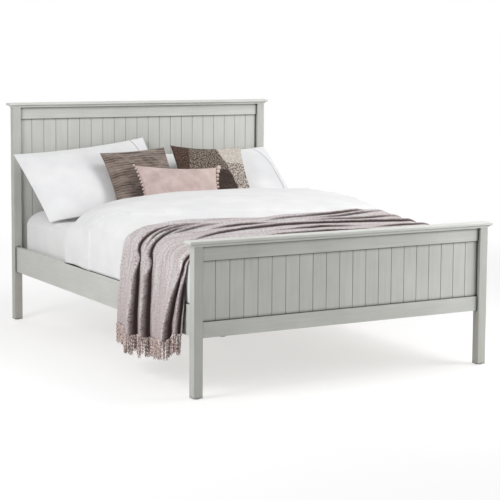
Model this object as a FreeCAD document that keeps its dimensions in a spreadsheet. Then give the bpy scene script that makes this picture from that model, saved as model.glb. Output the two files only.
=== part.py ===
"""Panel bed for a double mattress, with tongue and groove boards, slats and bedding.

Frame: X across the bed, Y from the footboard to the headboard, Z up, in millimetres.
The origin is on the floor, under the middle of the bed.
"""
import FreeCAD
import Part
import Sketcher
import math
import os
import re

SIZES = {
    # Overall sizes, over the outer faces of the posts.
    "frame_width": 1460.0,
    "frame_length": 2018.0,
    "head_height": 1107.0,
    "foot_height": 636.0,
    # Corner posts and the nylon glides under them.
    "post_side": 41.0,
    "post_ease": 2.0,
    "glide_tall": 3.0,
    "glide_radius": 15.0,
    # Moulded cap: a square-edged board with eased edges over a coved moulding.
    "cap_tall": 14.0,
    "cap_ease": 4.0,
    "cap_end_lip": 20.0,
    "cap_face_lip": 8.0,
    "cove_tall": 10.0,
    "cove_end_reach": 17.0,
    "cove_face_reach": 7.0,
    "cove_foot": 1.0,
    "cove_end_radius": 14.0,
    "cove_face_radius": 8.5,
    # Rails of the two boards and their tenons.
    "rail_thick": 20.0,
    "rail_recess": 14.0,
    "top_rail_tall": 58.0,
    "low_rail_bottom": 243.0,
    "low_rail_tall": 64.0,
    "tenon_thick": 10.0,
    "tenon_deep": 13.0,
    "tenon_shoulder": 10.0,
    "glue_gap": 0.2,
    # Tongue and groove boards.
    "board_count": 21.0,
    "board_thick": 8.0,
    "board_recess": 7.0,
    "board_bevel": 1.3,
    "board_seam": 0.2,
    "tongue_long": 4.6,
    "tongue_thick": 2.6,
    "tongue_gap": 0.2,
    "groove_deep": 8.0,
    "groove_gap": 0.2,
    "end_groove_deep": 6.0,
    # Side rails.
    "side_thick": 25.0,
    "side_inset": 9.5,
    "side_bottom": 247.0,
    "side_tall": 127.0,
    "side_ease": 2.0,
    # Corner fixing: insert, stud, half-moon washer, nut, two dowels.
    "fixing_up": 63.5,
    "pocket_radius": 16.0,
    "pocket_deep": 20.5,
    "pocket_back": 35.0,
    "insert_radius": 6.0,
    "insert_long": 18.0,
    "stud_radius": 4.0,
    "stud_slip": 0.2,
    "stud_tail": 4.0,
    "washer_thick": 8.0,
    "washer_wide": 14.0,
    "nut_flats": 13.0,
    "nut_thick": 6.5,
    "dowel_radius": 4.0,
    "dowel_half": 18.0,
    "dowel_spread": 40.0,
    # Bearers, slats, centre beam and leg.
    "bearer_wide": 28.0,
    "bearer_tall": 32.0,
    "bearer_up": 40.0,
    "bearer_setback": 60.0,
    "bearer_screw_count": 6.0,
    "screw_radius": 2.0,
    "screw_head_radius": 4.5,
    "screw_head_tall": 2.5,
    "screw_sink": 3.0,
    "screw_bite": 15.0,
    "slat_wide": 66.0,
    "slat_thick": 18.0,
    "slat_bevel": 2.0,
    "slat_end_gap": 2.5,
    "slat_setback": 2.0,
    "slat_count": 14.0,
    "tape_wide": 25.0,
    "tape_thick": 0.8,
    "tape_out": 400.0,
    "beam_side": 44.0,
    "beam_gap": 0.5,
    "shoe_thick": 2.0,
    "shoe_reach": 40.0,
    "shoe_wing": 15.0,
    "leg_side": 40.0,
    "leg_toward_head": 100.0,
    "leg_foot_tall": 12.0,
    "leg_foot_radius": 18.0,
    "leg_bolt_up": 28.0,
    "leg_bolt_down": 38.0,
    # Mattress, 137 x 190 cm in this frame, and the gap kept between soft pieces.
    "soft_gap": 0.4,
    "mattress_side_gap": 10.5,
    "mattress_end_gap": 18.0,
    "mattress_tall": 229.0,
    "mattress_corner": 45.0,
    "mattress_edge": 12.0,
    # Duvet, turned back toward the foot below the pillows.
    "duvet_side": 26.0,
    "duvet_hem_gap": 2.0,
    "duvet_foot_thick": 58.0,
    "duvet_mid_thick": 127.0,
    "duvet_turn_thick": 12.0,
    "duvet_crown": 8.0,
    "duvet_shoulder_wide": 112.0,
    "duvet_shoulder_tall": 75.0,
    "duvet_rise_start": 350.0,
    "duvet_rise_end": 1010.0,
    "duvet_turn_step": 14.0,
    "duvet_foot_roll": 25.0,
    "duvet_head_roll": 60.0,
    "duvet_fold_gap": 6.0,
    # Throw laid across the foot of the bed, pleated, hanging down the left side.
    "throw_foot_gap": 28.0,
    "throw_wide": 616.0,
    "throw_pleats": 6.0,
    "throw_thick": 7.0,
    "throw_rail_gap": 2.0,
    "throw_side_fold": 17.0,
    "throw_top_fold": 9.0,
    "throw_left_hem": 200.0,
    "throw_left_rise": 48.0,
    "throw_right_hem": 462.0,
    "throw_knee": 92.0,
    # Knotted fringe along both of the throw's hems.
    "fringe_count": 14.0,
    "fringe_long": 84.0,
    "fringe_gap": 0.2,
    "fringe_top": 5.0,
    "fringe_bottom": 13.0,
    # Pillows and cushions: width, height, thickness, lean back, turn in their own plane.
    "pillow_wide": 700.0,
    "pillow_tall": 455.0,
    "pillow_thick": 108.0,
    "pillow_band": 50.0,
    "pillow_left_over": 40.0,
    "pillow_left_lean": 45.0,
    "pillow_left_turn": 5.6,
    "pillow_right_over": 23.0,
    "pillow_right_lean": 50.0,
    "pillow_right_turn": 2.0,
    "ribbed_wide": 390.0,
    "ribbed_tall": 390.0,
    "ribbed_thick": 92.0,
    "ribbed_x": 176.0,
    "ribbed_lean": 36.0,
    "ribbed_turn": 2.4,
    "tweed_wide": 425.0,
    "tweed_tall": 400.0,
    "tweed_thick": 92.0,
    "tweed_x": 254.0,
    "tweed_lean": 36.0,
    "tweed_turn": 3.2,
    "velvet_wide": 505.0,
    "velvet_tall": 285.0,
    "velvet_thick": 82.0,
    "velvet_x": 3.0,
    "velvet_lean": 30.0,
    "velvet_turn": 3.9,
    "cushion_edge": 7.0,
    "cushion_waist": 0.035,
}

doc = FreeCAD.newDocument("panel_bed")
sheet = doc.addObject("Spreadsheet::Sheet", "Sizes")
for row, (alias, value) in enumerate(SIZES.items(), start=1):
    sheet.set(f"A{row}", alias)
    sheet.set(f"B{row}", str(value))
    sheet.setAlias(f"B{row}", alias)
doc.recompute()

WORD = re.compile(r"[a-z][a-z_0-9]*")
PLANES = {"X": "YZ_Plane", "Y": "XZ_Plane", "Z": "XY_Plane"}
NODES = []


def bound(text):
    """The expression with every size's alias led by the sheet's name."""
    return WORD.sub(lambda m: f"Sizes.{m[0]}" if m[0] in SIZES else m[0], str(text))


def size(text):
    """The number that the expression gives with the sheet's present sizes."""
    return float(sheet.evalExpression(str(text)))


def place(item, x="0", y="0", z="0"):
    """Sets where the piece stands."""
    for axis, text in zip("xyz", (x, y, z)):
        item.setExpression(f"Placement.Base.{axis}", bound(text))


def body(name, x="0", y="0", z="0"):
    """A body that becomes one named piece, or one group of equal fasteners."""
    item = doc.addObject("PartDesign::Body", name)
    item.Label = name
    place(item, x, y, z)
    NODES.append(item)
    return item


def rect(x0, x1, y0, y1):
    """Corners of a rectangle, counter-clockwise."""
    return [(x0, y0), (x1, y0), (x1, y1), (x0, y1)]


def mid(x, y, wide, tall):
    """Corners of a rectangle about its middle."""
    return rect(f"{x}-({wide})/2", f"{x}+({wide})/2", f"{y}-({tall})/2", f"{y}+({tall})/2")


def disc(x, y, radius):
    """A circle as a loop."""
    return {"centre": (x, y), "radius": radius}


def small_round(x, y, radius):
    """A pin or bore too small and too often repeated for a full circle: eight flats."""
    far = f"({radius})*cos(22.5)"
    near = f"({radius})*sin(22.5)"
    signs = (("+", "-"), ("+", "+"), ("-", "+"), ("-", "-"))
    steep = [(f"{x}{i}{far}", f"{y}{j}{near}") for i, j in signs]
    flat = [(f"{x}{i}{near}", f"{y}{j}{far}") for i, j in signs]
    return [steep[0], steep[1], flat[1], flat[2], steep[2], steep[3], flat[3], flat[0]]


def sketch(item, name, axis, level, loops):
    """A sketch square to one axis at a level, with every corner bound to the sheet.

    A loop is a list of corners, or a disc. A corner with a third value starts an arc of
    that radius to the next corner, and a minus sign puts the arc's hollow side outward.
    """
    role = PLANES[axis]
    plane = next(part for part in item.Origin.OriginFeatures if part.Role == role)
    drawing = item.newObject("Sketcher::SketchObject", name)
    drawing.AttachmentSupport = [(plane, "")]
    drawing.MapMode = "FlatFace"
    # The XZ plane's normal points along -Y.
    sign = "-" if axis == "Y" else ""
    drawing.setExpression("AttachmentOffset.Base.z", bound(f"{sign}({level})"))

    def pin(kind, edge, end, text):
        rule = Sketcher.Constraint(kind, -1, 1, edge, end, size(text))
        number = drawing.addConstraint(rule)
        drawing.setExpression(f"Constraints[{number}]", bound(text))

    def ring(edge, radius):
        number = drawing.addConstraint(Sketcher.Constraint("Radius", edge, size(radius)))
        drawing.setExpression(f"Constraints[{number}]", bound(radius))

    up = FreeCAD.Vector(0, 0, 1)
    for loop in loops:
        if isinstance(loop, dict):
            x, y = loop["centre"]
            centre = FreeCAD.Vector(size(x), size(y), 0)
            edge = drawing.addGeometry(Part.Circle(centre, up, size(loop["radius"])), False)
            pin("DistanceX", edge, 3, x)
            pin("DistanceY", edge, 3, y)
            ring(edge, loop["radius"])
            continue
        points = [FreeCAD.Vector(size(c[0]), size(c[1]), 0) for c in loop]
        first = drawing.GeometryCount
        count = len(loop)
        for index, corner in enumerate(loop):
            start = points[index]
            end = points[(index + 1) % count]
            if len(corner) == 2:
                drawing.addGeometry(Part.LineSegment(start, end), False)
                continue
            bulge = size(corner[2])
            chord = end - start
            side = FreeCAD.Vector(chord.y, -chord.x, 0).normalize()
            rise = abs(bulge) - math.sqrt(bulge * bulge - chord.Length ** 2 / 4)
            middle = (start + end) / 2 + side * math.copysign(rise, bulge)
            drawing.addGeometry(Part.Arc(start, middle, end), False)
        for index, corner in enumerate(loop):
            edge = first + index
            following = first + (index + 1) % count
            arc = len(corner) == 3
            turned = arc and size(corner[2]) < 0
            after = loop[(index + 1) % count]
            turned_after = len(after) == 3 and size(after[2]) < 0
            # An arc is stored counter-clockwise, so a hollow one starts at its far end.
            tail = 1 if turned else 2
            head = 2 if turned_after else 1
            drawing.addConstraint(
                Sketcher.Constraint("Coincident", edge, tail, following, head))
        for index, corner in enumerate(loop):
            turned = len(corner) == 3 and size(corner[2]) < 0
            end = 2 if turned else 1
            pin("DistanceX", first + index, end, corner[0])
            pin("DistanceY", first + index, end, corner[1])
            if len(corner) == 3:
                ring(first + index, str(corner[2]).lstrip("-"))
    return drawing


def add(item, name, axis, low, high, loops):
    """Solid between two levels."""
    level = high if axis == "Y" else low
    drawing = sketch(item, f"{item.Name}_{name}_lines", axis, level, loops)
    pad = item.newObject("PartDesign::Pad", f"{item.Name}_{name}")
    pad.Profile = drawing
    pad.setExpression("Length", bound(f"({high})-({low})"))
    doc.recompute()
    return pad


def cut(item, name, axis, low, high, loops):
    """Hollow between two levels, refused if it takes nothing away."""
    before = item.Shape.Volume
    level = low if axis == "Y" else high
    drawing = sketch(item, f"{item.Name}_{name}_lines", axis, level, loops)
    pocket = item.newObject("PartDesign::Pocket", f"{item.Name}_{name}")
    pocket.Profile = drawing
    pocket.setExpression("Length", bound(f"({high})-({low})"))
    doc.recompute()
    if not item.Shape.Volume < before - 1e-6:
        raise ValueError(f"{item.Label}: {name} cuts nothing")
    return pocket


def along(edge, axis):
    """Whether the edge is straight and runs along the axis."""
    if edge.Curve.TypeId != "Part::GeomLine":
        return False
    return abs(abs(getattr(edge.Curve.Direction, axis)) - 1) < 1e-6


def dress(item, kind, measure, name, amount, wanted):
    """Dresses the wanted edges of a piece."""
    doc.recompute()
    base = item.Tip
    edges = [f"Edge{n}" for n, edge in enumerate(base.Shape.Edges, start=1) if wanted(edge)]
    finish = item.newObject(f"PartDesign::{kind}", f"{item.Name}_{name}")
    finish.Base = (base, edges)
    finish.setExpression(measure, bound(amount))
    item.Tip = finish
    doc.recompute()
    return finish


def ease(item, name, radius, wanted):
    """Rounds the wanted edges."""
    return dress(item, "Fillet", "Radius", name, radius, wanted)


def bevel(item, name, flat, wanted):
    """Bevels the wanted edges."""
    return dress(item, "Chamfer", "Size", name, flat, wanted)


def inward(sign, near, far):
    """Low and high X of a span measured toward the bed's middle, on either side."""
    if sign == "-1":
        return near, far
    return f"-({far})", f"-({near})"


SIDES = (("left", "-1"), ("right", "1"))
ENDS = (("foot", "-1"), ("head", "1"))

# Shared heights and places, each written once.
BAY = "(frame_width-2*post_side)"
CLEAR = "(frame_length-2*post_side)"
RAIL_Y = "(rail_recess+rail_thick/2-post_side/2)"
BOARD_Y = "(board_recess+board_thick/2-rail_thick/2)"
LOW_TOP = "(low_rail_bottom+low_rail_tall)"
SIDE_X = "(frame_width/2-side_inset-side_thick/2)"
FIX_Z = "(side_bottom+fixing_up)"
STUD_X = "(post_side/2-side_inset-side_thick/2)"
BEARER_TOP = "(side_bottom+bearer_up)"
BEARER_HALF = f"({CLEAR}/2-bearer_setback)"
SCREW_Z = f"({BEARER_TOP}-bearer_tall/2)"
SLAT_TOP = f"({BEARER_TOP}+slat_thick)"
BEAM_FOOT = "(-frame_length/2+rail_recess+rail_thick)"
BEAM_HEAD = f"({CLEAR}/2+rail_recess)"
BEAM_LOW = f"({BEARER_TOP}-beam_side)"


def post_top(end):
    """Height of the post's top, under the coved moulding."""
    return f"({end}_height-cap_tall-cove_tall)"


def rail_low(end):
    """Height of the top rail's lower edge."""
    return f"({post_top(end)}-top_rail_tall)"


def end_y(toward):
    """Y of the middle of the posts at one end."""
    return f"{toward}*(frame_length-post_side)/2"


def tenon_band(low, high):
    """Heights of a rail's tenon, inside its shoulders."""
    return f"{low}+tenon_shoulder", f"{high}-tenon_shoulder"


# Corner posts: square, with mortises, a board groove and the holes for the side rail.
for end, toward in ENDS:
    for side, sign in SIDES:
        post = body(f"{end}_post_{side}", f"{sign}*(frame_width-post_side)/2", end_y(toward))
        square = mid("0", "0", "post_side", "post_side")
        add(post, "blank", "Z", "glide_tall", post_top(end), [square])
        ease(post, "arris", "post_ease", lambda edge: along(edge, "z"))
        slot = "tenon_thick+2*glue_gap"
        for name, low, high in (("low", "low_rail_bottom", LOW_TOP),
                                ("top", rail_low(end), post_top(end))):
            base, crown = tenon_band(low, high)
            reach = inward(sign, "post_side/2-tenon_deep-2*glue_gap", "post_side/2")
            hole = rect(f"{RAIL_Y}-({slot})/2", f"{RAIL_Y}+({slot})/2",
                        f"{base}-glue_gap", f"{crown}+glue_gap")
            cut(post, f"{name}_mortise", "X", *reach, [hole])
        reach = inward(sign, "post_side/2-end_groove_deep-2*glue_gap", "post_side/2")
        wide = "board_thick/2+groove_gap"
        groove = rect(f"{RAIL_Y}+{BOARD_Y}-({wide})", f"{RAIL_Y}+{BOARD_Y}+({wide})",
                      f"{LOW_TOP}-groove_deep", f"{rail_low(end)}+groove_deep")
        cut(post, "board_groove", "X", *reach, [groove])
        stud_x = f"{sign}*{STUD_X}"
        face = ("post_side/2-({0})", "post_side/2")
        if toward == "1":
            face = ("-post_side/2", "-post_side/2+({0})")
        for name, deep, radius, heights in (
                ("insert_hole", "insert_long+2*glue_gap", "insert_radius+glue_gap", (FIX_Z,)),
                ("dowel_hole", "dowel_half+glue_gap", "dowel_radius+glue_gap",
                 (f"{FIX_Z}-dowel_spread", f"{FIX_Z}+dowel_spread"))):
            low, high = (text.format(deep) for text in face)
            cut(post, name, "Y", low, high, [small_round(stud_x, z, radius) for z in heights])

# Rails of the boards, tenoned into the posts and grooved for the boards.
for end, toward in ENDS:
    place_y = f"{end_y(toward)}+{RAIL_Y}"
    for name, low, high in (("top", rail_low(end), post_top(end)),
                            ("bottom", "low_rail_bottom", LOW_TOP)):
        rail = body(f"{end}_{name}_rail", "0", place_y)
        face = rect("-rail_thick/2", "rail_thick/2", low, high)
        add(rail, "blank", "X", f"-{BAY}/2", f"{BAY}/2", [face])
        base, crown = tenon_band(low, high)
        tenon = rect("-tenon_thick/2", "tenon_thick/2", base, crown)
        add(rail, "tenons", "X", f"-{BAY}/2-tenon_deep", f"{BAY}/2+tenon_deep", [tenon])
        band = (low, f"{low}+groove_deep")
        if name == "bottom":
            band = (f"{high}-groove_deep", high)
        wide = "board_thick/2+groove_gap"
        groove = rect(f"{BOARD_Y}-({wide})", f"{BOARD_Y}+({wide})", *band)
        cut(rail, "groove", "X", f"-{BAY}/2", f"{BAY}/2", [groove])
        if name == "bottom":
            span = ("rail_thick/2-screw_bite-glue_gap", "rail_thick/2")
            if toward == "1":
                span = ("-rail_thick/2", "-rail_thick/2+screw_bite+glue_gap")
            out = "(beam_side/2+beam_gap+shoe_thick+shoe_wing/2)"
            holes = [small_round(f"{x}*{out}", f"{BEAM_LOW}+beam_side*{up}/4", "screw_radius+glue_gap")
                     for x in ("-1", "1") for up in ("1", "3")]
            cut(rail, "screw_holes", "Y", *span, holes)

# Tongue and groove boards, seated in the rails' and posts' grooves.
PITCH = f"({BAY}/board_count)"
HALF = f"({PITCH}/2-board_seam/2)"
FACE = "-board_thick/2"
BACK = "board_thick/2"
TONGUE = [
    (HALF, f"{FACE}+board_bevel"),
    (HALF, "-tongue_thick/2"),
    (f"{HALF}+tongue_long", "-tongue_thick/2"),
    (f"{HALF}+tongue_long", "tongue_thick/2"),
    (HALF, "tongue_thick/2"),
    (HALF, BACK),
]
SLOT = "(tongue_thick/2+tongue_gap)"
SLOT_END = f"-{HALF}+tongue_long+2*tongue_gap"
GROOVE = [
    (f"-{HALF}", BACK),
    (f"-{HALF}", SLOT),
    (SLOT_END, SLOT),
    (SLOT_END, f"-{SLOT}"),
    (f"-{HALF}", f"-{SLOT}"),
    (f"-{HALF}", f"{FACE}+board_bevel"),
]
LEFT_BEVEL = (f"-{HALF}+board_bevel", FACE)
RIGHT_BEVEL = (f"{HALF}-board_bevel", FACE)
WALL = f"-({PITCH}/2+end_groove_deep)"


def shifted(corners, by):
    """The corners moved along X."""
    return [(f"{x}+({by})", y) for x, y in corners]


for end, toward in ENDS:
    boards = body(f"{end}_panel_boards", "0", f"{end_y(toward)}+{RAIL_Y}+{BOARD_Y}")
    low = f"{LOW_TOP}-groove_deep+glue_gap*5"
    high = f"{rail_low(end)}+groove_deep-glue_gap*5"
    first = f"-{BAY}/2+{PITCH}/2"
    second = f"{first}+{PITCH}"
    middle = [LEFT_BEVEL, RIGHT_BEVEL] + TONGUE + GROOVE
    field = add(boards, "field", "Z", low, high, [shifted(middle, second)])
    rows = boards.newObject("PartDesign::LinearPattern", f"{boards.Name}_rows")
    rows.Originals = [field]
    rows.Direction = (field.Profile[0], ["H_Axis"])
    rows.Mode = "Spacing"
    rows.setExpression("Offset", bound(PITCH))
    rows.setExpression("Occurrences", bound("board_count-2"))
    boards.Tip = rows
    doc.recompute()
    left = [(WALL, FACE), RIGHT_BEVEL] + TONGUE + [(WALL, BACK)]
    right = [LEFT_BEVEL, (f"-({WALL})", FACE), (f"-({WALL})", BACK)] + GROOVE
    add(boards, "first", "Z", low, high, [shifted(left, first)])
    add(boards, "last", "Z", low, high, [shifted(right, f"-({first})")])

# Coved moulding and cap on each board: the cove returns round both ends with mitres.
for end, toward in ENDS:
    base = post_top(end)
    rise = f"({base}+cove_tall)"
    wide = "(post_side/2+{0})"
    cove = body(f"{end}_cap_mould", "0", end_y(toward))
    foot_y = wide.format("cove_foot")
    reach_y = wide.format("cove_face_reach")
    section = [(f"-{foot_y}", base), (foot_y, base, "-cove_face_radius"),
               (reach_y, rise), (f"-{reach_y}", rise, "-cove_face_radius")]
    long_half = "(frame_width/2+cove_end_reach)"
    add(cove, "blank", "X", f"-{long_half}", long_half, [section])
    low_half = "(frame_width/2+cove_foot)"
    away = f"({long_half}+cove_foot)"
    right = [(low_half, base), (away, base), (away, rise), (long_half, rise, "cove_end_radius")]
    left = [(f"-{low_half}", base, "cove_end_radius"), (f"-{long_half}", rise),
            (f"-{away}", rise), (f"-{away}", base)]
    cut(cove, "returns", "Y", f"-{reach_y}", reach_y, [right, left])
    cap = body(f"{end}_cap", "0", end_y(toward))
    plan = mid("0", "0", "frame_width+2*cap_end_lip", "post_side+2*cap_face_lip")
    add(cap, "board", "Z", rise, f"{end}_height", [plan])
    ease(cap, "edges", "cap_ease", lambda edge: not along(edge, "z"))

# Glides: nylon discs with a rounded rim under the posts.
glides = body("post_glides")
spots = [disc(f"{x}*(frame_width-post_side)/2", f"{y}*(frame_length-post_side)/2", "glide_radius")
         for x in ("-1", "1") for y in ("-1", "1")]
add(glides, "discs", "Z", "0", "glide_tall", spots)

# Side rails: plain boards butted to the posts, with the fixing's pockets on the inside.
for side, sign in SIDES:
    rail = body(f"side_rail_{side}", f"{sign}*{SIDE_X}")
    face = rect("-side_thick/2", "side_thick/2", "side_bottom", "side_bottom+side_tall")
    add(rail, "blank", "Y", f"-{CLEAR}/2", f"{CLEAR}/2", [face])
    ease(rail, "arris", "side_ease", lambda edge: along(edge, "y"))
    reach = inward(sign, "side_thick/2-pocket_deep", "side_thick/2")
    seat = f"({CLEAR}/2-pocket_back)"
    cut(rail, "pockets", "X", *reach,
        [disc(f"{y}*{seat}", FIX_Z, "pocket_radius") for y in ("-1", "1")])
    for toward in ("-1", "1"):
        for name, deep, radius, heights in (
                ("stud_hole", "pocket_back", "stud_radius+stud_slip", (FIX_Z,)),
                ("dowel_holes", "dowel_half+glue_gap", "dowel_radius+glue_gap",
                 (f"{FIX_Z}-dowel_spread", f"{FIX_Z}+dowel_spread"))):
            span = (f"-{CLEAR}/2", f"-{CLEAR}/2+{deep}")
            if toward == "1":
                span = (f"{CLEAR}/2-({deep})", f"{CLEAR}/2")
            tag = "foot" if toward == "-1" else "head"
            cut(rail, f"{tag}_{name}", "Y", *span, [small_round("0", z, radius) for z in heights])
    reach = inward(sign, "side_thick/2-screw_bite-glue_gap", "side_thick/2")
    step = f"(2*{BEARER_HALF}/bearer_screw_count)"
    rows = [f"-{BEARER_HALF}+{step}*({n}+0.5)" for n in range(int(size("bearer_screw_count")))]
    cut(rail, "screw_holes", "X", *reach,
        [small_round(y, SCREW_Z, "screw_radius+glue_gap") for y in rows])

    bearer = body(f"slat_bearer_{side}", f"{sign}*({SIDE_X}-side_thick/2-bearer_wide/2)")
    face = rect("-bearer_wide/2", "bearer_wide/2", f"{BEARER_TOP}-bearer_tall", BEARER_TOP)
    add(bearer, "blank", "Y", f"-{BEARER_HALF}", BEARER_HALF, [face])
    cut(bearer, "screw_holes", "X", "-bearer_wide/2", "bearer_wide/2",
        [small_round(y, SCREW_Z, "screw_radius+glue_gap") for y in rows])
    reach = inward(sign, "bearer_wide/2-screw_sink", "bearer_wide/2")
    cut(bearer, "counterbores", "X", *reach,
        [small_round(y, SCREW_Z, "screw_head_radius+2*glue_gap") for y in rows])

# Bearer screws, sunk in the bearers and driven into the side rails.
screws = body("bearer_screws")
inner = f"({SIDE_X}-side_thick/2)"
for side, sign in SIDES:
    seat = f"({inner}-bearer_wide+screw_sink)"
    spans = ((seat, f"{inner}+screw_bite"), (f"{seat}-screw_head_tall", seat))
    if sign == "-1":
        spans = tuple((f"-({high})", f"-({low})") for low, high in spans)
    for name, span, radius in (("shanks", spans[0], "screw_radius"),
                               ("heads", spans[1], "screw_head_radius")):
        add(screws, f"{side}_{name}", "X", *span,
            [small_round(y, SCREW_Z, radius) for y in rows])

# Corner fixings: threaded insert, stud, half-moon washer and nut, with a pair of dowels.
inserts = body("rail_inserts")
studs = body("rail_studs")
washers = body("half_moon_washers")
nuts = body("stud_nuts")
dowels = body("rail_dowels")
joint = f"({CLEAR}/2)"
seat = f"({joint}-pocket_back)"
flat = f"({seat}+pocket_radius-washer_thick)"
PAIR = [f"{sign}*{SIDE_X}" for side, sign in SIDES]
for end, toward in ENDS:
    def span(low, high):
        """Low and high Y of a span at this end, given as if at the headboard."""
        return (low, high) if toward == "1" else (f"-({high})", f"-({low})")

    tubes = [small_round(x, FIX_Z, radius) for x in PAIR
             for radius in ("insert_radius", "stud_radius+stud_slip/2")]
    add(inserts, end, "Y", *span(joint, f"{joint}+insert_long"), tubes)
    tail = f"{flat}-nut_thick-stud_tail"
    add(studs, end, "Y", *span(tail, f"{joint}+insert_long"),
        [small_round(x, FIX_Z, "stud_radius") for x in PAIR])
    corner = "nut_flats/2"
    across = "nut_flats/2/cos(30)"
    hexes = []
    for x in PAIR:
        hexes.append([(f"{x}-{corner}", f"{FIX_Z}-{across}/2"), (f"{x}", f"{FIX_Z}-{across}"),
                      (f"{x}+{corner}", f"{FIX_Z}-{across}/2"),
                      (f"{x}+{corner}", f"{FIX_Z}+{across}/2"), (f"{x}", f"{FIX_Z}+{across}"),
                      (f"{x}-{corner}", f"{FIX_Z}+{across}/2")])
        hexes.append(small_round(x, FIX_Z, "stud_radius+stud_slip/2"))
    add(nuts, end, "Y", *span(f"{flat}-nut_thick", flat), hexes)
    add(dowels, end, "Y", *span(f"{joint}-dowel_half", f"{joint}+dowel_half"),
        [small_round(x, z, "dowel_radius") for x in PAIR
         for z in (f"{FIX_Z}-dowel_spread", f"{FIX_Z}+dowel_spread")])
    # The washer is the part of a disc beyond its flat, as thick as the pocket is deep.
    moon = "(pocket_radius-glue_gap)"
    lift = f"sqrt({moon}^2-({flat}-{seat})^2)"
    if toward == "1":
        shape = [(flat, f"{FIX_Z}-{lift}", moon), (flat, f"{FIX_Z}+{lift}")]
    else:
        shape = [(f"-{flat}", f"{FIX_Z}+{lift}", moon), (f"-{flat}", f"{FIX_Z}-{lift}")]
    for side, sign in SIDES:
        low, high = f"{SIDE_X}-washer_wide/2", f"{SIDE_X}+washer_wide/2"
        if sign == "-1":
            low, high = f"-({high})", f"-({low})"
        add(washers, f"{end}_{side}", "X", low, high, [shape])
for end, toward in ENDS:
    low, high = flat, f"{seat}+pocket_radius"
    if toward == "-1":
        low, high = f"-({high})", f"-({low})"
    cut(washers, f"{end}_holes", "Y", low, high,
        [small_round(x, FIX_Z, "stud_radius+stud_slip") for x in PAIR])

# Slats across the bearers, tied together by two woven tapes.
slat_long = "(frame_width-2*side_inset-2*side_thick-2*slat_end_gap)"
run = f"({BEARER_HALF}-slat_setback-slat_wide/2)"
for number in range(int(size("slat_count"))):
    y = f"-{run}+{number}*2*{run}/(slat_count-1)"
    slat = body(f"slat_{number + 1:02d}", "0", y, BEARER_TOP)
    side, flat = "slat_wide/2", "(slat_wide/2-slat_bevel)"
    face = [(f"-{flat}", "0"), (flat, "0"), (side, "slat_bevel"),
            (side, "slat_thick-slat_bevel"), (flat, "slat_thick"), (f"-{flat}", "slat_thick"),
            (f"-{side}", "slat_thick-slat_bevel"), (f"-{side}", "slat_bevel")]
    add(slat, "blank", "X", f"-{slat_long}/2", f"{slat_long}/2", [face])
for side, sign in SIDES:
    tape = doc.addObject("Part::Box", f"slat_tape_{side}")
    tape.Label = f"slat_tape_{side}"
    tape.setExpression("Length", bound("tape_wide"))
    tape.setExpression("Width", bound(f"2*{run}+slat_wide"))
    tape.setExpression("Height", bound("tape_thick"))
    place(tape, f"{sign}*tape_out-tape_wide/2", f"-{run}-slat_wide/2", SLAT_TOP)
    NODES.append(tape)

# Centre beam in two steel shoes, with one leg on a screwed foot.
beam = body("centre_beam")
beam_ends = (f"{BEAM_FOOT}+shoe_thick+beam_gap", f"{BEAM_HEAD}-shoe_thick-beam_gap")
add(beam, "blank", "Y", *beam_ends, [rect("-beam_side/2", "beam_side/2", BEAM_LOW, BEARER_TOP)])
cut(beam, "bolt_hole", "Z", BEAM_LOW, f"{BEAM_LOW}+leg_bolt_up+glue_gap",
    [small_round("0", "leg_toward_head", "stud_radius+stud_slip")])
trough = "(beam_side/2+beam_gap)"
SHOE_SPOTS = [(f"{x}*({trough}+shoe_thick+shoe_wing/2)", f"{BEAM_LOW}+beam_side*{up}/4")
              for x in ("-1", "1") for up in ("1", "3")]
for end, toward in ENDS:
    face = BEAM_HEAD if toward == "1" else f"-({BEAM_FOOT})"

    def span(near, far):
        """Low and high Y of a span measured from the rail's face toward the bed's middle."""
        low, high = f"{face}-({far})", f"{face}-({near})"
        return (low, high) if toward == "1" else (f"-({high})", f"-({low})")

    shoe = body(f"beam_shoe_{end}")
    half = f"({trough}+shoe_thick)"
    back = rect(f"-{half}-shoe_wing", f"{half}+shoe_wing", f"{BEAM_LOW}-shoe_thick", BEARER_TOP)
    add(shoe, "back", "Y", *span("0", "shoe_thick"), [back])
    rim = f"{BEAM_LOW}+beam_side*3/4"
    channel = [(f"-{half}", f"{BEAM_LOW}-shoe_thick"), (half, f"{BEAM_LOW}-shoe_thick"),
               (half, rim), (trough, rim), (trough, BEAM_LOW), (f"-{trough}", BEAM_LOW),
               (f"-{trough}", rim), (f"-{half}", rim)]
    add(shoe, "channel", "Y", *span("shoe_thick", "shoe_reach"), [channel])
    cut(shoe, "holes", "Y", *span("0", "shoe_thick"),
        [small_round(x, z, "screw_radius+glue_gap") for x, z in SHOE_SPOTS])
shoe_screws = body("shoe_screws")
for end, toward in ENDS:
    face = BEAM_HEAD if toward == "1" else f"-({BEAM_FOOT})"
    spans = ((f"{face}-shoe_thick", f"{face}+screw_bite"),
             (f"{face}-shoe_thick-screw_head_tall", f"{face}-shoe_thick"))
    if toward == "-1":
        spans = tuple((f"-({high})", f"-({low})") for low, high in spans)
    for name, reach, radius in (("shanks", spans[0], "screw_radius"),
                                ("heads", spans[1], "screw_head_radius")):
        add(shoe_screws, f"{end}_{name}", "Y", *reach,
            [small_round(x, z, radius) for x, z in SHOE_SPOTS])

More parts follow.
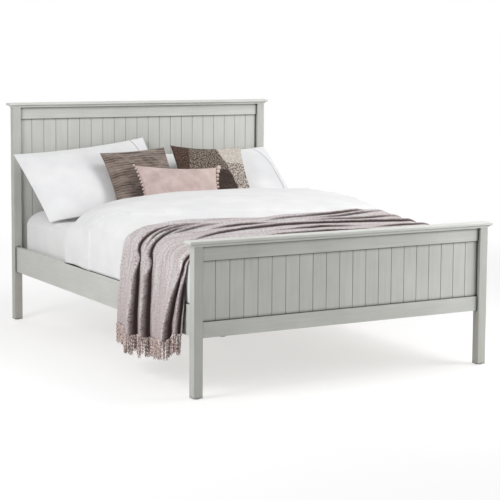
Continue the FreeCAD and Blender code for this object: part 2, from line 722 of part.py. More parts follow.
leg = body("centre_leg", "0", "leg_toward_head")
add(leg, "blank", "Z", "leg_foot_tall", BEAM_LOW, [mid("0", "0", "leg_side", "leg_side")])
ease(leg, "arris", "post_ease", lambda edge: along(edge, "z"))
cut(leg, "bolt_hole", "Z", f"{BEAM_LOW}-leg_bolt_down-glue_gap", BEAM_LOW,
    [small_round("0", "0", "stud_radius+stud_slip")])
cut(leg, "foot_hole", "Z", "leg_foot_tall", "leg_foot_tall+leg_bolt_up+glue_gap",
    [small_round("0", "0", "stud_radius+stud_slip")])
bolt = body("leg_bolt", "0", "leg_toward_head")
add(bolt, "rod", "Z", f"{BEAM_LOW}-leg_bolt_down", f"{BEAM_LOW}+leg_bolt_up",
    [small_round("0", "0", "stud_radius")])
foot = body("centre_leg_foot", "0", "leg_toward_head")
add(foot, "disc", "Z", "0", "leg_foot_tall", [disc("0", "0", "leg_foot_radius")])
add(foot, "stem", "Z", "leg_foot_tall", "leg_foot_tall+leg_bolt_up",
    [small_round("0", "0", "stud_radius")])

# Mattress on the slats.
MATTRESS_LOW = f"({SLAT_TOP}+tape_thick+soft_gap)"
MATTRESS_TOP = f"({MATTRESS_LOW}+mattress_tall)"
MATTRESS_WIDE = "(frame_width-2*(side_inset+side_thick+mattress_side_gap))"
MATTRESS_LONG = f"({CLEAR}-2*mattress_end_gap)"
mattress = body("mattress")
add(mattress, "core", "Z", MATTRESS_LOW, MATTRESS_TOP,
    [mid("0", "0", MATTRESS_WIDE, MATTRESS_LONG)])
ease(mattress, "corners", "mattress_corner", lambda edge: along(edge, "z"))
bevel(mattress, "edges", "mattress_edge", lambda edge: not along(edge, "z"))


def soft(name, shape):
    """A soft piece whose surfaces are lofts."""
    item = doc.addObject("Part::Feature", name)
    item.Label = name
    item.Shape = shape
    NODES.append(item)
    return item


def path(points):
    """Edges through the points: a pair of points makes a line, a third between makes an arc."""
    edges = []
    for start, middle, end in points:
        line = Part.LineSegment(start, end) if middle is None else Part.Arc(start, middle, end)
        edges.append(line.toShape())
    return edges


def vault(axis, half, far, rise, rim):
    """Lens section square to an axis: a flat rim out to far, and a crown over the half span."""
    def point(across, z):
        return FreeCAD.Vector(across, 0, z) if axis == "Y" else FreeCAD.Vector(0, across, z)

    lines = []
    for sign in (1, -1):
        z = sign * rim
        lines += [(point(-sign * far, z), None, point(-sign * half, z)),
                  (point(-sign * half, z), point(0, sign * rise), point(sign * half, z)),
                  (point(sign * half, z), None, point(sign * far, z)),
                  (point(sign * far, z), None, point(sign * far, -z))]
    return Part.Face(Part.Wire(path(lines)))


def cushion_form(wide, tall, thick, edge, waist, band):
    """A sewn cushion lying flat, crowned from all four seams, with drawn-in sides.

    Its thickness is the lesser of two crowned vaults: one across, as high as the stuffing,
    and one along, twice as high, which only shows toward the two ends. A pillow's case has
    an unstuffed band at its open end, the right one.
    """
    x, y, rim = wide / 2, tall / 2, edge / 2
    inner_x = x - band / 2 - 2 * waist * y
    inner_y = y - 2 * waist * y
    across = vault("X", inner_y, y + edge, thick / 2, rim)
    along_it = vault("Y", inner_x, x + edge + band, thick, rim)
    body_across = across.extrude(FreeCAD.Vector(wide, 0, 0)).translated(FreeCAD.Vector(-x, 0, 0))
    body_along = along_it.extrude(FreeCAD.Vector(0, tall, 0)).translated(
        FreeCAD.Vector(-band / 2, -y, 0))
    corners = [FreeCAD.Vector(i * x, j * y, -thick)
               for i, j in ((-1, -1), (1, -1), (1, 1), (-1, 1))]
    sides = []
    for start, end in zip(corners, corners[1:] + corners[:1]):
        middle = (start + end) / 2
        drawn = FreeCAD.Vector(middle.x, middle.y, 0).normalize() * 2 * waist * y
        sides.append((start, middle - drawn, end))
    plan = Part.Face(Part.Wire(path(sides))).extrude(FreeCAD.Vector(0, 0, 2 * thick))
    return body_across.common(body_along).common(plan)


def extent(item):
    """The piece's bounding box, tight on curved faces."""
    return item.Shape.optimalBoundingBox(False)


def approach(item, target, step):
    """Moves the piece along a direction until it all but touches the target.

    The gap can't close by more than the distance moved, so no step ends in an overlap.
    """
    for _ in range(40):
        space = item.Shape.distToShape(target)[0] - size("soft_gap")
        if abs(space) < 0.05:
            break
        item.Placement.Base += step * space


def lean(item, x, angle, turn):
    """Stands a flat cushion up, leaning back, turned in its own plane, on the mattress."""
    upright = FreeCAD.Rotation(FreeCAD.Vector(1, 0, 0), 90 - angle)
    turned = FreeCAD.Rotation(FreeCAD.Vector(0, 0, 1), turn)
    item.Placement = FreeCAD.Placement(FreeCAD.Vector(x, 0, 0), upright.multiply(turned))
    item.Placement.Base.z += size(MATTRESS_TOP) - extent(item).ZMin
    approach(item, mattress.Shape, FreeCAD.Vector(0, 0, -1))


def rest_against(item, behind):
    """Slides the piece from in front until it leans on what is behind it."""
    item.Placement.Base.y += behind.BoundBox.YMin - extent(item).YMax
    approach(item, behind, FreeCAD.Vector(0, 1, 0))


# Pillows, against the plane of the cap's front lip so that they can be lifted past it.
pillows = []
for side, sign in SIDES:
    form = cushion_form(size("pillow_wide"), size("pillow_tall"), size("pillow_thick"),
                        size("cushion_edge"), size("cushion_waist"), size("pillow_band"))
    pillow = soft(f"pillow_{side}", form)
    middle = f"({MATTRESS_WIDE}/2-pillow_wide/2+pillow_{side}_over)"
    lean(pillow, size(f"{sign}*{middle}"), size(f"pillow_{side}_lean"),
         size(f"pillow_{side}_turn"))
    wall = size(f"{CLEAR}/2-cap_face_lip-soft_gap*4")
    pillow.Placement.Base.y += wall - extent(pillow).YMax
    pillows.append(pillow)

# Two square cushions lean on the pillows, and a long one leans on them.
behind = Part.makeCompound([pillow.Shape for pillow in pillows])
cushions = []
for name, sign, turn in (("ribbed", "-1", "1"), ("tweed", "1", "-1"), ("velvet", "1", "-1")):
    form = cushion_form(size(f"{name}_wide"), size(f"{name}_tall"), size(f"{name}_thick"),
                        size("cushion_edge"), size("cushion_waist"), 0)
    cushion = soft(f"cushion_{name}", form)
    lean(cushion, size(f"{sign}*{name}_x"), size(f"{name}_lean"), size(f"{turn}*{name}_turn"))
    if name == "velvet":
        behind = Part.makeCompound([behind] + [other.Shape for other in cushions])
    rest_against(cushion, behind)
    cushions.append(cushion)

# The duvet's thickness over the mattress, from its foot to the fold below the cushions.
duvet_foot = -size(MATTRESS_LONG) / 2
duvet_head = min(extent(item).YMin for item in pillows + cushions) - size("duvet_fold_gap")
thin = size("duvet_foot_thick")
full = size("duvet_mid_thick")
double = full + size("duvet_turn_thick")
rise_end = duvet_foot + size("duvet_rise_end")
roll = size("duvet_head_roll")
STATIONS = [
    (duvet_foot, thin * 0.6),
    (duvet_foot + size("duvet_foot_roll"), thin),
    (duvet_foot + size("duvet_rise_start"), thin),
    (rise_end, full),
    (rise_end + size("duvet_turn_step"), double),
    (duvet_head - roll, double),
    (duvet_head - roll / 3, double * 0.88),
    (duvet_head, double * 0.55),
]


def puff(y):
    """The duvet's thickness at y, on straight lines between the stations."""
    for (y0, t0), (y1, t1) in zip(STATIONS, STATIONS[1:]):
        if y <= y1:
            return t0 + (t1 - t0) * (y - y0) / (y1 - y0)
    return STATIONS[-1][1]


def over(y, out):
    """The duvet's outline across the bed at y, moved outward by a distance.

    Returns five pieces from the left side to the right: side, shoulder, crown, shoulder, side.
    The shoulders keep one shape along the bed.
    """
    top = size(MATTRESS_TOP) + puff(y) + out
    half = size(f"{MATTRESS_WIDE}/2+duvet_side+soft_gap") + out
    wide = size("duvet_shoulder_wide")
    tall = size("duvet_shoulder_tall")
    bow = math.sqrt(0.5)

    def point(x, z):
        return FreeCAD.Vector(x, y, z)

    left, right = point(-half, top - tall), point(half, top - tall)
    left_top, right_top = point(wide - half, top), point(half - wide, top)
    rise = top - tall + tall * bow
    left_bow, right_bow = point(wide - half - wide * bow, rise), point(half - wide + wide * bow, rise)
    crest = point(0, top + size("duvet_crown"))
    return [(left, left_bow, left_top), (left_top, crest, right_top), (right_top, right_bow, right)]


hem = size("side_bottom+side_tall+duvet_hem_gap")
inner_x = size(f"{MATTRESS_WIDE}/2+soft_gap")
inner_z = size(f"{MATTRESS_TOP}+soft_gap")
wires = []
for y, _ in STATIONS:
    outer = over(y, 0)
    left, right = outer[0][0], outer[-1][2]
    left_foot = FreeCAD.Vector(left.x, y, hem)
    right_foot = FreeCAD.Vector(right.x, y, hem)
    inner = [FreeCAD.Vector(x, y, z) for x, z in
             ((inner_x, hem), (inner_x, inner_z), (-inner_x, inner_z), (-inner_x, hem))]
    corners = [right_foot] + inner + [left_foot]
    sides = [(a, None, b) for a, b in zip(corners, corners[1:])]
    wires.append(Part.Wire(path([(left_foot, None, left)] + outer + [(right, None, right_foot)]
                                + sides)))
soft("duvet", Part.makeLoft(wires, True, True))

# The throw: pleats run across the bed and down both sides, drawn out from the duvet by turns.
throw_start = duvet_foot + size("throw_foot_gap")
throw_long = size("throw_wide")
pleats = int(size("throw_pleats"))
rail_face = size("frame_width/2-side_inset+throw_rail_gap")


def fold(y):
    """Share of a pleat's full depth at y, on straight lines from 0 to 1 and back."""
    share = (y - throw_start) / throw_long * pleats
    return 1 - abs(2 * (share % 1) - 1)


def left_hem(y):
    """Height of the left hem, which rises toward the footboard."""
    share = (y - throw_start) / throw_long
    return size("throw_left_hem") + size("throw_left_rise") * max(0, 1 - share * 4)


def throw_path(y, out):
    """The throw's line at y, at a distance outside its inner face."""
    top = over(y, size("soft_gap") * 2 + size("throw_top_fold") * fold(y) + out)
    side = -rail_face - size("throw_side_fold") * fold(y) - out
    knee = FreeCAD.Vector(side, y, hem + size("throw_knee"))
    foot = FreeCAD.Vector(side, y, left_hem(y))
    right = top[-1][2]
    end = FreeCAD.Vector(right.x, y, size("throw_right_hem"))
    return [(foot, None, knee), (knee, None, top[0][0])] + top + [(right, None, end)]


wires = []
for number in range(2 * pleats + 1):
    y = throw_start + throw_long * number / (2 * pleats)
    inner = throw_path(y, 0)
    outer = throw_path(y, size("throw_thick"))
    ends = [(outer[-1][2], None, inner[-1][2]), (inner[0][0], None, outer[0][0])]
    wires.append(Part.Wire(path(outer) + path(ends[:1]) + path(inner)[::-1] + path(ends[1:])))
soft("throw", Part.makeLoft(wires, True, True))

# Fringe: one knotted tassel to each step, widening downward, at both hems.
tassels = []
count = int(size("fringe_count"))
for number in range(count):
    y = throw_start + throw_long * (number + 0.5) / count
    half = size("fringe_top/2")
    inner = throw_path(y, 0)
    outer = throw_path(y, size("throw_thick"))
    for a, b, top in ((inner[0][0], outer[0][0], min(left_hem(y - half), left_hem(y + half))),
                      (inner[-1][2], outer[-1][2], size("throw_right_hem"))):
        x = (a.x + b.x - size("fringe_top")) / 2
        flare = [FreeCAD.Vector(x, y + side / 2, z)
                 for side, z in ((size("fringe_top"), top - size("fringe_gap")),
                                 (size("fringe_bottom"), top - size("fringe_long")))
                 for side in (-side, side)]
        face = Part.Face(Part.makePolygon([flare[0], flare[1], flare[3], flare[2], flare[0]]))
        tassels.append(face.extrude(FreeCAD.Vector(size("fringe_top"), 0, 0)))
soft("throw_fringe", Part.makeCompound(tassels))

doc.recompute()
failed = [item.Name for item in doc.Objects if {"Invalid", "Error"} & set(item.State)]
for node in NODES:
    shape = node.Shape
    if shape.isNull() or not shape.isValid() or not shape.Solids:
        failed.append(node.Label)
if failed:
    raise ValueError("failed pieces: " + ", ".join(sorted(set(failed))))

os.makedirs("parts", exist_ok=True)
for node in NODES:
    node.Shape.exportStep(f"parts/{node.Label}.step")
    print(f"{node.Label}: {len(node.Shape.Solids)} solid(s), {node.Shape.Volume / 1000:.1f} cm3")
box = Part.makeCompound([node.Shape for node in NODES]).BoundBox
print(f"{len(NODES)} pieces, {box.XLength:.1f} x {box.YLength:.1f} x {box.ZLength:.1f} mm")
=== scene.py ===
# %% [markdown]
# # A painted panel bed, dressed for the night
#
# The bed is a softwood frame painted dove grey: tongue and groove boards at both ends,
# two side rails, slats on a centre beam. On it lie a mattress in a fitted sheet, a duvet
# turned back below the pillows, a loosely folded wool throw with a knotted fringe, two white
# pillows and three cushions. The rigid pieces come ready made from the frame and only get
# their paint, wood and metal here. Every soft piece is built below as a surface of two
# parameters, worked out with numpy, and some are then inflated with a cloth simulation.

# %% Load the frame
import math

import bmesh
import bpy
import numpy as np
from mathutils import Matrix, Vector


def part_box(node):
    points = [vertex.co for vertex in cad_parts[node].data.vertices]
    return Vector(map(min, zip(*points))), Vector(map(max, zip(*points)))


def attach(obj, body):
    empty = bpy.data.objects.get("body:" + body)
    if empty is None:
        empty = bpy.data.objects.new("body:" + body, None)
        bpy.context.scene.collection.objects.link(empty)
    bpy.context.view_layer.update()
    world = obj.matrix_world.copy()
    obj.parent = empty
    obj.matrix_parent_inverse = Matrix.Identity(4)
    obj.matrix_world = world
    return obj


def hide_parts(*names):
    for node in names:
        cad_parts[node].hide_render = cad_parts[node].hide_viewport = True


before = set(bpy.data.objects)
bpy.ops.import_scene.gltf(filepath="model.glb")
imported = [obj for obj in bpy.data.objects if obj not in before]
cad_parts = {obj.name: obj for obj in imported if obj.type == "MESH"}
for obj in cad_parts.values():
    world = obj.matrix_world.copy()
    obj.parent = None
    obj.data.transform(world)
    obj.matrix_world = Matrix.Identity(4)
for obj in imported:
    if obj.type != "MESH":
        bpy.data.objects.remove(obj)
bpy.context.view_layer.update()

# %% [markdown]
# ## The camera
#
# A photographer stood well back, on the left of the foot end, with a long lens, which
# keeps the two ends of the bed almost the same size. The position below is in metres and
# was found by fitting the corners of the frame. A small vertical shift keeps the posts
# nearly upright, as an architectural lens does.

# %% Camera
CAMERA_AT = Vector((-3.4587, -6.2509, 1.4156))
CAMERA_YAW = 0.5169      # radians, from the headboard's direction toward the right
CAMERA_PITCH = -0.1035   # radians, downward
CAMERA_ROLL = 0.0068
FOCAL_SHARE = 1512.98 / 500   # focal length over the width of the picture
SHIFT_UP = -0.10


def make_camera():
    """Camera looking along yaw and pitch: forward is (sin y cos p, cos y cos p, sin p)."""
    data = bpy.data.cameras.new("camera")
    data.sensor_width = 36.0
    data.lens = 36.0 * FOCAL_SHARE
    data.shift_y = SHIFT_UP
    data.clip_start, data.clip_end = 0.1, 100.0
    camera = bpy.data.objects.new("camera", data)
    bpy.context.scene.collection.objects.link(camera)
    forward = Vector((math.sin(CAMERA_YAW) * math.cos(CAMERA_PITCH),
                      math.cos(CAMERA_YAW) * math.cos(CAMERA_PITCH), math.sin(CAMERA_PITCH)))
    right = Vector((math.cos(CAMERA_YAW), -math.sin(CAMERA_YAW), 0))
    up = right.cross(forward)
    side = right * math.cos(CAMERA_ROLL) + up * math.sin(CAMERA_ROLL)
    above = up * math.cos(CAMERA_ROLL) - right * math.sin(CAMERA_ROLL)
    camera.matrix_world = Matrix.Translation(CAMERA_AT) @ Matrix(
        (side, above, -forward)).transposed().to_4x4()
    bpy.context.scene.camera = camera
    return camera


camera = make_camera()
print("camera lens", round(camera.data.lens, 1), "mm")

# %% [markdown]
# ## Meshes from arrays
#
# A surface here is a grid of points, rows by columns. Turning the grid into faces is the
# same work for every piece, so one helper does it: it numbers the points, makes the four
# corners of each face by slicing the number grid, and hands flat arrays to the mesh.

# %% Grid helpers
def grid_faces(rows, columns, wrap_rows=False, wrap_columns=False, start=0):
    """Corner numbers of each face of a grid, wrapped round where asked."""
    index = start + np.arange(rows * columns).reshape(rows, columns)
    if wrap_rows:
        index = np.vstack([index, index[:1]])
    if wrap_columns:
        index = np.hstack([index, index[:, :1]])
    return np.stack([index[:-1, :-1], index[:-1, 1:], index[1:, 1:], index[1:, :-1]],
                    axis=-1).reshape(-1, 4)


def mesh_piece(name, points, faces, smooth=True):
    """A linked object from an array of points and an array of four-cornered faces."""
    points = np.ascontiguousarray(points, dtype=np.float32).reshape(-1, 3)
    faces = np.ascontiguousarray(faces, dtype=np.int32)
    mesh = bpy.data.meshes.new(name)
    mesh.vertices.add(len(points))
    mesh.vertices.foreach_set("co", points.ravel())
    mesh.loops.add(faces.size)
    mesh.loops.foreach_set("vertex_index", faces.ravel())
    mesh.polygons.add(len(faces))
    mesh.polygons.foreach_set("loop_start", np.arange(0, faces.size, 4, dtype=np.int32))
    mesh.polygons.foreach_set("use_smooth", np.full(len(faces), smooth))
    mesh.update(calc_edges=True)
    mesh.validate()
    piece = bpy.data.objects.new(name, mesh)
    bpy.context.scene.collection.objects.link(piece)
    return piece


def read_points(mesh):
    """All of a mesh's points as an array."""
    points = np.empty(len(mesh.vertices) * 3, np.float32)
    mesh.vertices.foreach_get("co", points)
    return points.reshape(-1, 3).astype(float)


def store(piece, name, values):
    """Keeps one vector per point on the mesh, for a material to read by name."""
    attribute = piece.data.attributes.new(name, "FLOAT_VECTOR", "POINT")
    attribute.data.foreach_set("vector", np.ascontiguousarray(values, np.float32).ravel())


def weld(piece, distance=0.00005):
    """Merges points that meet and turns every face outward."""
    work = bmesh.new()
    work.from_mesh(piece.data)
    bmesh.ops.remove_doubles(work, verts=work.verts, dist=distance)
    bmesh.ops.recalc_face_normals(work, faces=work.faces)
    work.to_mesh(piece.data)
    work.free()
    piece.data.polygons.foreach_set("use_smooth", np.ones(len(piece.data.polygons), bool))
    piece.data.update()


print("a grid of 3 by 4 points has", len(grid_faces(3, 4)), "faces")

# %% [markdown]
# ## Steps and unevenness
#
# Two small formulas shape most of the cloth below. A smooth step lets one form fade into
# the next with no edge. Unevenness comes from a few added sine waves: they are smooth,
# cheap on whole arrays, and the same on every run, because their directions are seeded.

# %% Shaping helpers
def smooth_step(value, low, high):
    """0 below low, 1 above high, and 3t^2 - 2t^3 between."""
    t = np.clip((value - low) / (high - low), 0.0, 1.0)
    return t * t * (3 - 2 * t)


def soft_noise(x, y, seed, wave_long):
    """Smooth unevenness: seven sine waves of seeded directions, about one wave long each."""
    rng = np.random.default_rng(seed)
    total = np.zeros(np.broadcast(x, y).shape)
    for angle, phase, stretch in zip(rng.uniform(0, np.pi, 7), rng.uniform(0, 2 * np.pi, 7),
                                     rng.uniform(0.6, 1.7, 7)):
        along = x * np.cos(angle) + y * np.sin(angle)
        total += np.sin(2 * np.pi * along / (wave_long * stretch) + phase)
    return total / 7


print("a smooth step half way is", float(smooth_step(0.5, 0.0, 1.0)))

# %% [markdown]
# ## Finishes as node graphs
#
# Every finish is a small graph of procedural textures that ends in one Principled shader.
# `wire` makes a node, sets its plain values and links any socket that it is given, so a
# graph can be read from top to bottom like a recipe.

# %% Colours and nodes
def colour(red, green, blue):
    """A colour given in 0-255 display values, as the linear values that shaders use."""
    share = np.array([red, green, blue]) / 255
    linear = np.where(share <= 0.04045, share / 12.92, ((share + 0.055) / 1.055) ** 2.4)
    return (*linear.tolist(), 1.0)


def wire(tree, kind, sockets=None, **settings):
    """A node with its settings, plain socket values and links from other sockets."""
    made = tree.nodes.new(kind)
    for name, value in settings.items():
        setattr(made, name, value)
    for name, value in (sockets or {}).items():
        if isinstance(value, bpy.types.NodeSocket):
            tree.links.new(value, made.inputs[name])
        else:
            made.inputs[name].default_value = value
    return made


def new_finish(name, roughness, **plain):
    """An empty material with a Principled shader, its node tree and the shader."""
    material = bpy.data.materials.new(name)
    material.use_nodes = True
    tree = material.node_tree
    shader = tree.nodes["Principled BSDF"]
    shader.inputs["Roughness"].default_value = roughness
    for socket, value in plain.items():
        shader.inputs[socket.replace("_", " ")].default_value = value
    return material, tree, shader


def tint(tree, shader, base):
    """Links a colour socket to the shader's base colour."""
    tree.links.new(base, shader.inputs["Base Color"])


print("middle grey is", round(colour(128, 128, 128)[0], 3), "in linear light")

# %% [markdown]
# ## Patterns and relief
#
# Each pattern below is one or two nodes wrapped in a function that returns the socket with
# the result, so patterns can be added, multiplied and mixed as if they were numbers. Bump
# takes its height from the same sockets: where a thread is lighter it also stands higher.

# %% Pattern helpers
def calculate(tree, operation, *values):
    """One step of arithmetic on sockets or plain numbers."""
    return wire(tree, "ShaderNodeMath", dict(enumerate(values)), operation=operation).outputs[0]


def blend_colours(tree, factor, dark, light):
    """A mix of two colours by a factor socket."""
    mix = wire(tree, "ShaderNodeMix", data_type="RGBA")
    tree.links.new(factor, mix.inputs["Factor"])
    for socket, value in ((mix.inputs[6], dark), (mix.inputs[7], light)):
        if isinstance(value, bpy.types.NodeSocket):
            tree.links.new(value, socket)
        else:
            socket.default_value = value
    return mix.outputs[2]


def stretch_range(tree, value, low, high, to_low=0.0, to_high=1.0):
    """The value's range from low to high, stretched to another and clamped."""
    return wire(tree, "ShaderNodeMapRange",
                {"Value": value, "From Min": low, "From Max": high,
                 "To Min": to_low, "To Max": to_high}).outputs["Result"]


def place_vector(tree, scale=(1, 1, 1), attribute=None):
    """Object coordinates, or a stored attribute, scaled along its three axes."""
    if attribute:
        source = wire(tree, "ShaderNodeAttribute", attribute_name=attribute).outputs["Vector"]
    else:
        source = wire(tree, "ShaderNodeTexCoord").outputs["Object"]
    return wire(tree, "ShaderNodeMapping", {"Vector": source, "Scale": scale}).outputs["Vector"]


def part_of(tree, vector, axis):
    """One coordinate of a vector."""
    return wire(tree, "ShaderNodeSeparateXYZ", {"Vector": vector}).outputs[axis]


def noise(tree, vector, scale, detail=3.0, rough=0.5):
    """Fractal noise, about 0.5 on average."""
    return wire(tree, "ShaderNodeTexNoise", {"Vector": vector, "Scale": scale, "Detail": detail,
                                             "Roughness": rough}).outputs["Fac"]


def wave(tree, vector, scale, distortion, axis="Y", detail=2.0, detail_scale=1.0):
    """Bands across one axis, 0 to 1, bent by noise."""
    return wire(tree, "ShaderNodeTexWave",
                {"Vector": vector, "Scale": scale, "Distortion": distortion, "Detail": detail,
                 "Detail Scale": detail_scale}, bands_direction=axis).outputs["Fac"]


def open_share(tree, reach):
    """1 in the open and toward 0 in seams and folds, looking as far as reach, in metres; it masks
    painted shade.
    """
    return wire(tree, "ShaderNodeAmbientOcclusion", {"Distance": reach}, samples=8).outputs["AO"]


def emboss(tree, shader, height, strength, deep):
    """Bump on the shader from a height socket; deep is in metres."""
    bump = wire(tree, "ShaderNodeBump", {"Height": height, "Strength": strength,
                                         "Distance": deep})
    tree.links.new(bump.outputs["Normal"], shader.inputs["Normal"])


print("pattern helpers ready, Blender", bpy.app.version_string)

# %% [markdown]
# ## Paint on pine
#
# The frame is sprayed with a satin paint. Paint hides the colour of the wood but not its
# grain: faint ridges still run along each board. One flat colour would look like plastic,
# so the graph adds a soft unevenness of tone, a fine film texture and long, shallow grain
# lines, stretched along the way that each piece was cut. An ambient occlusion node darkens
# seams and recesses, which is painted shade. The posts get a shaded copy of the paint, a
# little darker, which is painted shade. The caps get a lit copy, a little lighter and with
# paler seams, which is painted highlight.

# %% Painted wood
GRAIN = {"X": (0.6, 14.0, 14.0), "Y": (14.0, 0.6, 14.0), "Z": (14.0, 14.0, 0.6)}
SATIN = 0.42         # roughness
BOARD_TONES = colour(191, 192, 186), colour(203, 204, 199)
# a shaded copy of the board paint, darker: painted shade on the posts
SHADED_POST_TONES = colour(179, 180, 174), colour(191, 192, 187)
# a lit copy of the board paint, lighter: painted highlight on the caps and mouldings
CAP_HIGHLIGHT_TONES = colour(203, 204, 198), colour(214, 215, 210)
# painted shade: the colours that seams and recesses are darkened toward, paler on the caps
SEAM_SHADE, CAP_SEAM_SHADE = colour(40, 38, 34), colour(128, 128, 122)
SHADE_REACH = 0.014   # metres
FILM_WAVE = 420.0    # waves per metre in the sprayed film


def painted_wood(name, axis, tones=BOARD_TONES, seam=SEAM_SHADE, closed=0.42):
    """Satin paint over grain on one axis, with painted shade in seams, darkest at the open share
    closed.
    """
    material, tree, shader = new_finish(name, SATIN, Specular_IOR_Level=0.4)
    grain = noise(tree, place_vector(tree, GRAIN[axis]), 9.0, 5.0, 0.6)
    cloud = noise(tree, place_vector(tree), 5.0, 2.0)
    film = noise(tree, place_vector(tree), FILM_WAVE, 2.0)
    factor = stretch_range(tree, calculate(tree, "ADD", grain, cloud), 0.7, 1.3)
    # painted shade: darker where ambient occlusion finds seams and recesses
    unshaded = stretch_range(tree, open_share(tree, SHADE_REACH), closed, 0.95)
    tint(tree, shader, blend_colours(tree, unshaded, seam, blend_colours(tree, factor, *tones)))
    tree.links.new(stretch_range(tree, cloud, 0.3, 0.7, SATIN - 0.04, SATIN + 0.06),
                   shader.inputs["Roughness"])
    emboss(tree, shader, calculate(tree, "ADD", grain, film), 0.12, 0.0008)
    return material


# the boards get deeper painted shade in their seams than the rails do
PAINT = {axis: painted_wood(f"painted_wood_{axis}", axis, closed=share)
         for axis, share in (("X", 0.42), ("Y", 0.42), ("Z", 0.52))}
# the caps and mouldings get the lit copy of the paint: painted highlight
HIGHLIGHTED_CAP_PAINT = painted_wood("painted_cap_highlighted", "X", CAP_HIGHLIGHT_TONES, CAP_SEAM_SHADE)
# the posts get the shaded copy of the paint: painted shade
SHADED_POST_PAINT = painted_wood("painted_post", "Z", SHADED_POST_TONES)
print("paints:", *(paint.name for paint in (*PAINT.values(), HIGHLIGHTED_CAP_PAINT, SHADED_POST_PAINT)))

# %% [markdown]
# ## Bare wood
#
# Under the bedding the wood is left bare: pine for slats, bearers, beam and leg, beech for
# the dowels. Growth rings show as bands, so a wave texture with some distortion, stretched
# along the grain, draws them, and fine pores are its relief.

# %% Bare wood
def bare_wood(name, axis, dark, light):
    """Growth rings as distorted bands, with fine pores along one axis."""
    material, tree, shader = new_finish(f"{name}_{axis}", 0.6)
    vector = place_vector(tree, GRAIN[axis])
    rings = wave(tree, vector, 1.4, 6.0, "DIAGONAL", 3.0)
    tint(tree, shader, blend_colours(tree, rings, dark, light))
    emboss(tree, shader, noise(tree, vector, 40.0, 3.0), 0.15, 0.0006)
    return material


PINE = {axis: bare_wood("pine", axis, colour(203, 167, 116), colour(229, 201, 156))
        for axis in "XYZ"}
BEECH = bare_wood("beech", "Y", colour(196, 152, 112), colour(214, 174, 134))
print("woods:", *(wood.name for wood in (*PINE.values(), BEECH)))

# %% [markdown]
# ## Metal, nylon and webbing
#
# Screws and studs are zinc plated, the beam's shoes are black steel, the glides are moulded
# nylon and the slats hang together on woven tape. All of these are small or hidden, so two
# short recipes do: metal with fine scratches in its roughness, and a matt stuff of two
# close tones with a fine relief.

# %% Metal, nylon and webbing
def plated_steel(name, bright, roughness):
    """Plated or painted steel with fine scratches in its roughness."""
    material, tree, shader = new_finish(name, roughness, Metallic=0.9)
    shade = noise(tree, place_vector(tree), 160.0, 3.0)
    dark = tuple(0.75 * value for value in bright[:3]) + (1.0,)
    tint(tree, shader, blend_colours(tree, shade, dark, bright))
    tree.links.new(stretch_range(tree, shade, 0.3, 0.7, roughness - 0.08, roughness + 0.1),
                   shader.inputs["Roughness"])
    return material


def matt_stuff(name, dark, light, waves):
    """Moulded nylon or woven tape: two close tones and a fine relief, in waves per metre."""
    material, tree, shader = new_finish(name, 0.55)
    grainy = noise(tree, place_vector(tree), waves, 2.0)
    tint(tree, shader, blend_colours(tree, grainy, dark, light))
    emboss(tree, shader, grainy, 0.2, 0.0004)
    return material


ZINC = plated_steel("zinc_steel", colour(190, 192, 190), 0.32)
BLACK_STEEL = plated_steel("black_steel", colour(48, 48, 50), 0.45)
NYLON = matt_stuff("nylon", colour(56, 56, 56), colour(72, 72, 72), 240.0)
WEBBING = matt_stuff("webbing", colour(206, 204, 198), colour(232, 230, 224), 700.0)
print("small parts:", ZINC.name, BLACK_STEEL.name, NYLON.name, WEBBING.name)

# %% [markdown]
# ## Dressing the frame's own pieces
#
# The rigid pieces keep their shapes. Each gets the finish of its stock, with the grain
# along its length: posts and boards upright, rails and caps across, side rails lengthwise.

# %% Assign the finishes of the rigid pieces
def finish_for(node):
    """The material of a rigid piece, by what the piece is."""
    if node.startswith("slat_tape"):
        return WEBBING
    if node.startswith("slat_bearer") or node == "centre_beam":
        return PINE["Y"]
    if node.startswith("slat_"):
        return PINE["X"]
    if node.startswith("side_rail"):
        return PAINT["Y"]
    if node.startswith("beam_shoe"):
        return BLACK_STEEL
    if "post_" in node and "glides" not in node:
        return SHADED_POST_PAINT
    if node.endswith("boards"):
        return PAINT["Z"]
    if node.endswith(("_cap", "_mould")):
        return HIGHLIGHTED_CAP_PAINT
    if node.endswith("_rail"):
        return PAINT["X"]
    return {"centre_leg": PINE["Z"], "rail_dowels": BEECH, "post_glides": NYLON,
            "centre_leg_foot": NYLON}.get(node, ZINC)


SOFT_NODES = ("mattress", "duvet", "throw", "throw_fringe", "pillow_left", "pillow_right",
              "cushion_ribbed", "cushion_tweed", "cushion_velvet")
for node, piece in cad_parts.items():
    if node not in SOFT_NODES:
        piece.data.materials.clear()
        piece.data.materials.append(finish_for(node))
print("finished", len(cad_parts) - len(SOFT_NODES), "rigid pieces")

# %% [markdown]
# ## A box with soft corners
#
# A sprung mattress is a box with soft corners. It could be a cube with a bevel, but then
# its faces would have no points to shape. So the box is six square grids laid on a cube and
# pushed out: each point is held inside a smaller box and then moved away from it by one
# radius, which rounds every edge and corner alike.

# %% Rounded box
def cube_grids(count):
    """Points and faces of a cube from -1 to 1 with count cells along each side."""
    step = np.linspace(-1, 1, count + 1)
    u, v = np.meshgrid(step, step, indexing="ij")
    one = np.ones_like(u)
    sides = [(u, v, one), (v, u, -one), (one, u, v), (-one, v, u), (v, one, u), (u, -one, v)]
    points = np.concatenate([np.stack(side, -1).reshape(-1, 3) for side in sides])
    faces = np.concatenate([grid_faces(count + 1, count + 1, start=n * (count + 1) ** 2)
                            for n in range(6)])
    return points, faces


